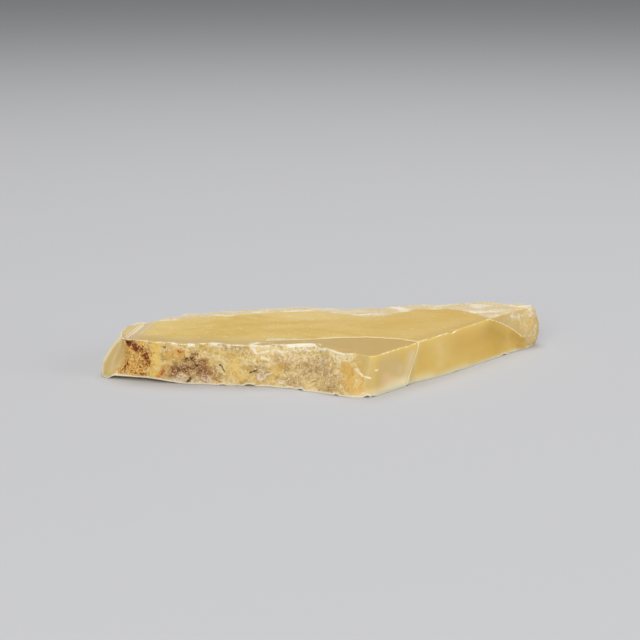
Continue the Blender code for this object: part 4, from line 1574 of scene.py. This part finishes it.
def make_slab():
    """The slab's skin with its materials, in place of the plain solid."""
    skin = Skin()
    lower_edge, rim = make_wall(skin)
    fill_face(skin, rim, top_height, top_values, FINE_STEP, lines_on_top(), upward=True)
    fill_face(skin, lower_edge, bottom_height, under_values, FINE_UNDER_STEP, [], upward=False)
    settle_in_frame(skin)
    bmesh.ops.recalc_face_normals(skin.mesh, faces=skin.mesh.faces)
    data = bpy.data.meshes.new("opal_slab")
    skin.mesh.to_mesh(data)
    skin.mesh.free()
    groups = {
        "honey": honey_group(), "rind": rind_group(), "frost": frost_and_glow_group(),
        "chalk": chalk_group(), "glow": glow_group(), "strokes": stroke_group(),
    }
    for make in (sawn_material, split_material, broken_material, crust_material):
        data.materials.append(make(groups))
    data.shade_smooth()
    data.set_sharp_from_angle(angle=math.radians(SHARP_FROM))
    slab = bpy.data.objects.new("opal_slab", data)
    bpy.context.scene.collection.objects.link(slab)
    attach(slab, "root")
    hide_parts(NODE)
    return slab


FLOOR_SIZE = 6.0
FLOOR_COLOUR = (0.60, 0.60, 0.61, 1.0)
FLOOR_ROUGHNESS = 0.9
FLOOR_GLOSS = 0.2


def make_floor():
    """A wide pale floor."""
    mesh = bmesh.new()
    bmesh.ops.create_grid(mesh, x_segments=8, y_segments=8, size=FLOOR_SIZE / 2)
    data = bpy.data.meshes.new("floor")
    mesh.to_mesh(data)
    mesh.free()
    floor = bpy.data.objects.new("floor", data)
    bpy.context.scene.collection.objects.link(floor)
    material = bpy.data.materials.new("pale_floor")
    material.use_nodes = True
    shader = material.node_tree.nodes["Principled BSDF"]
    shader.inputs["Base Color"].default_value = FLOOR_COLOUR
    shader.inputs["Roughness"].default_value = FLOOR_ROUGHNESS
    shader.inputs["Specular IOR Level"].default_value = FLOOR_GLOSS
    data.materials.append(material)


# Each lamp: name, place, the point it faces, side of its square and power.
LAMPS = [
    ("overhead", (0.02, 0.16, 0.55), (0.0, 0.0, 0.0), 0.50, 2.0),
    ("front", (-0.14, -0.60, 0.26), (0.0, 0.0, 0.0), 0.40, 2.4),
    ("right", (0.55, -0.20, 0.22), (0.0, 0.0, 0.0), 0.30, 0.9),
]
WORLD_COLOUR = (0.80, 0.81, 0.84, 1.0)
WORLD_STRENGTH = 0.30


def make_lights():
    """Three soft lamps and a dim even sky."""
    for name, place, target, side, power in LAMPS:
        data = bpy.data.lights.new(name, "AREA")
        data.size = side
        data.energy = power
        lamp = bpy.data.objects.new(name, data)
        lamp.location = place
        lamp.rotation_euler = (Vector(target) - Vector(place)).to_track_quat("-Z", "Y").to_euler()
        bpy.context.scene.collection.objects.link(lamp)
    world = bpy.data.worlds.new("studio")
    world.use_nodes = True
    background = world.node_tree.nodes["Background"]
    background.inputs["Color"].default_value = WORLD_COLOUR
    background.inputs["Strength"].default_value = WORLD_STRENGTH
    bpy.context.scene.world = world
    bpy.context.scene.view_settings.view_transform = "Standard"


CAMERA_PLACE = (-0.00102, -0.29491, 0.07081)
CAMERA_DOWN = 12.2  # degrees below the horizon
CAMERA_LENS = 115.5
SENSOR_WIDTH = 36.0
CLIP_START = 0.01
CLIP_END = 20.0


def make_camera():
    """The camera, in front of the slab and a little above it."""
    data = bpy.data.cameras.new("camera")
    data.lens = CAMERA_LENS
    data.sensor_width = SENSOR_WIDTH
    data.clip_start = CLIP_START
    data.clip_end = CLIP_END
    camera = bpy.data.objects.new("camera", data)
    camera.location = CAMERA_PLACE
    camera.rotation_euler = (math.radians(90.0 - CAMERA_DOWN), 0.0, 0.0)
    bpy.context.scene.collection.objects.link(camera)
    bpy.context.scene.camera = camera


make_slab()
make_floor()
make_lights()
make_camera()
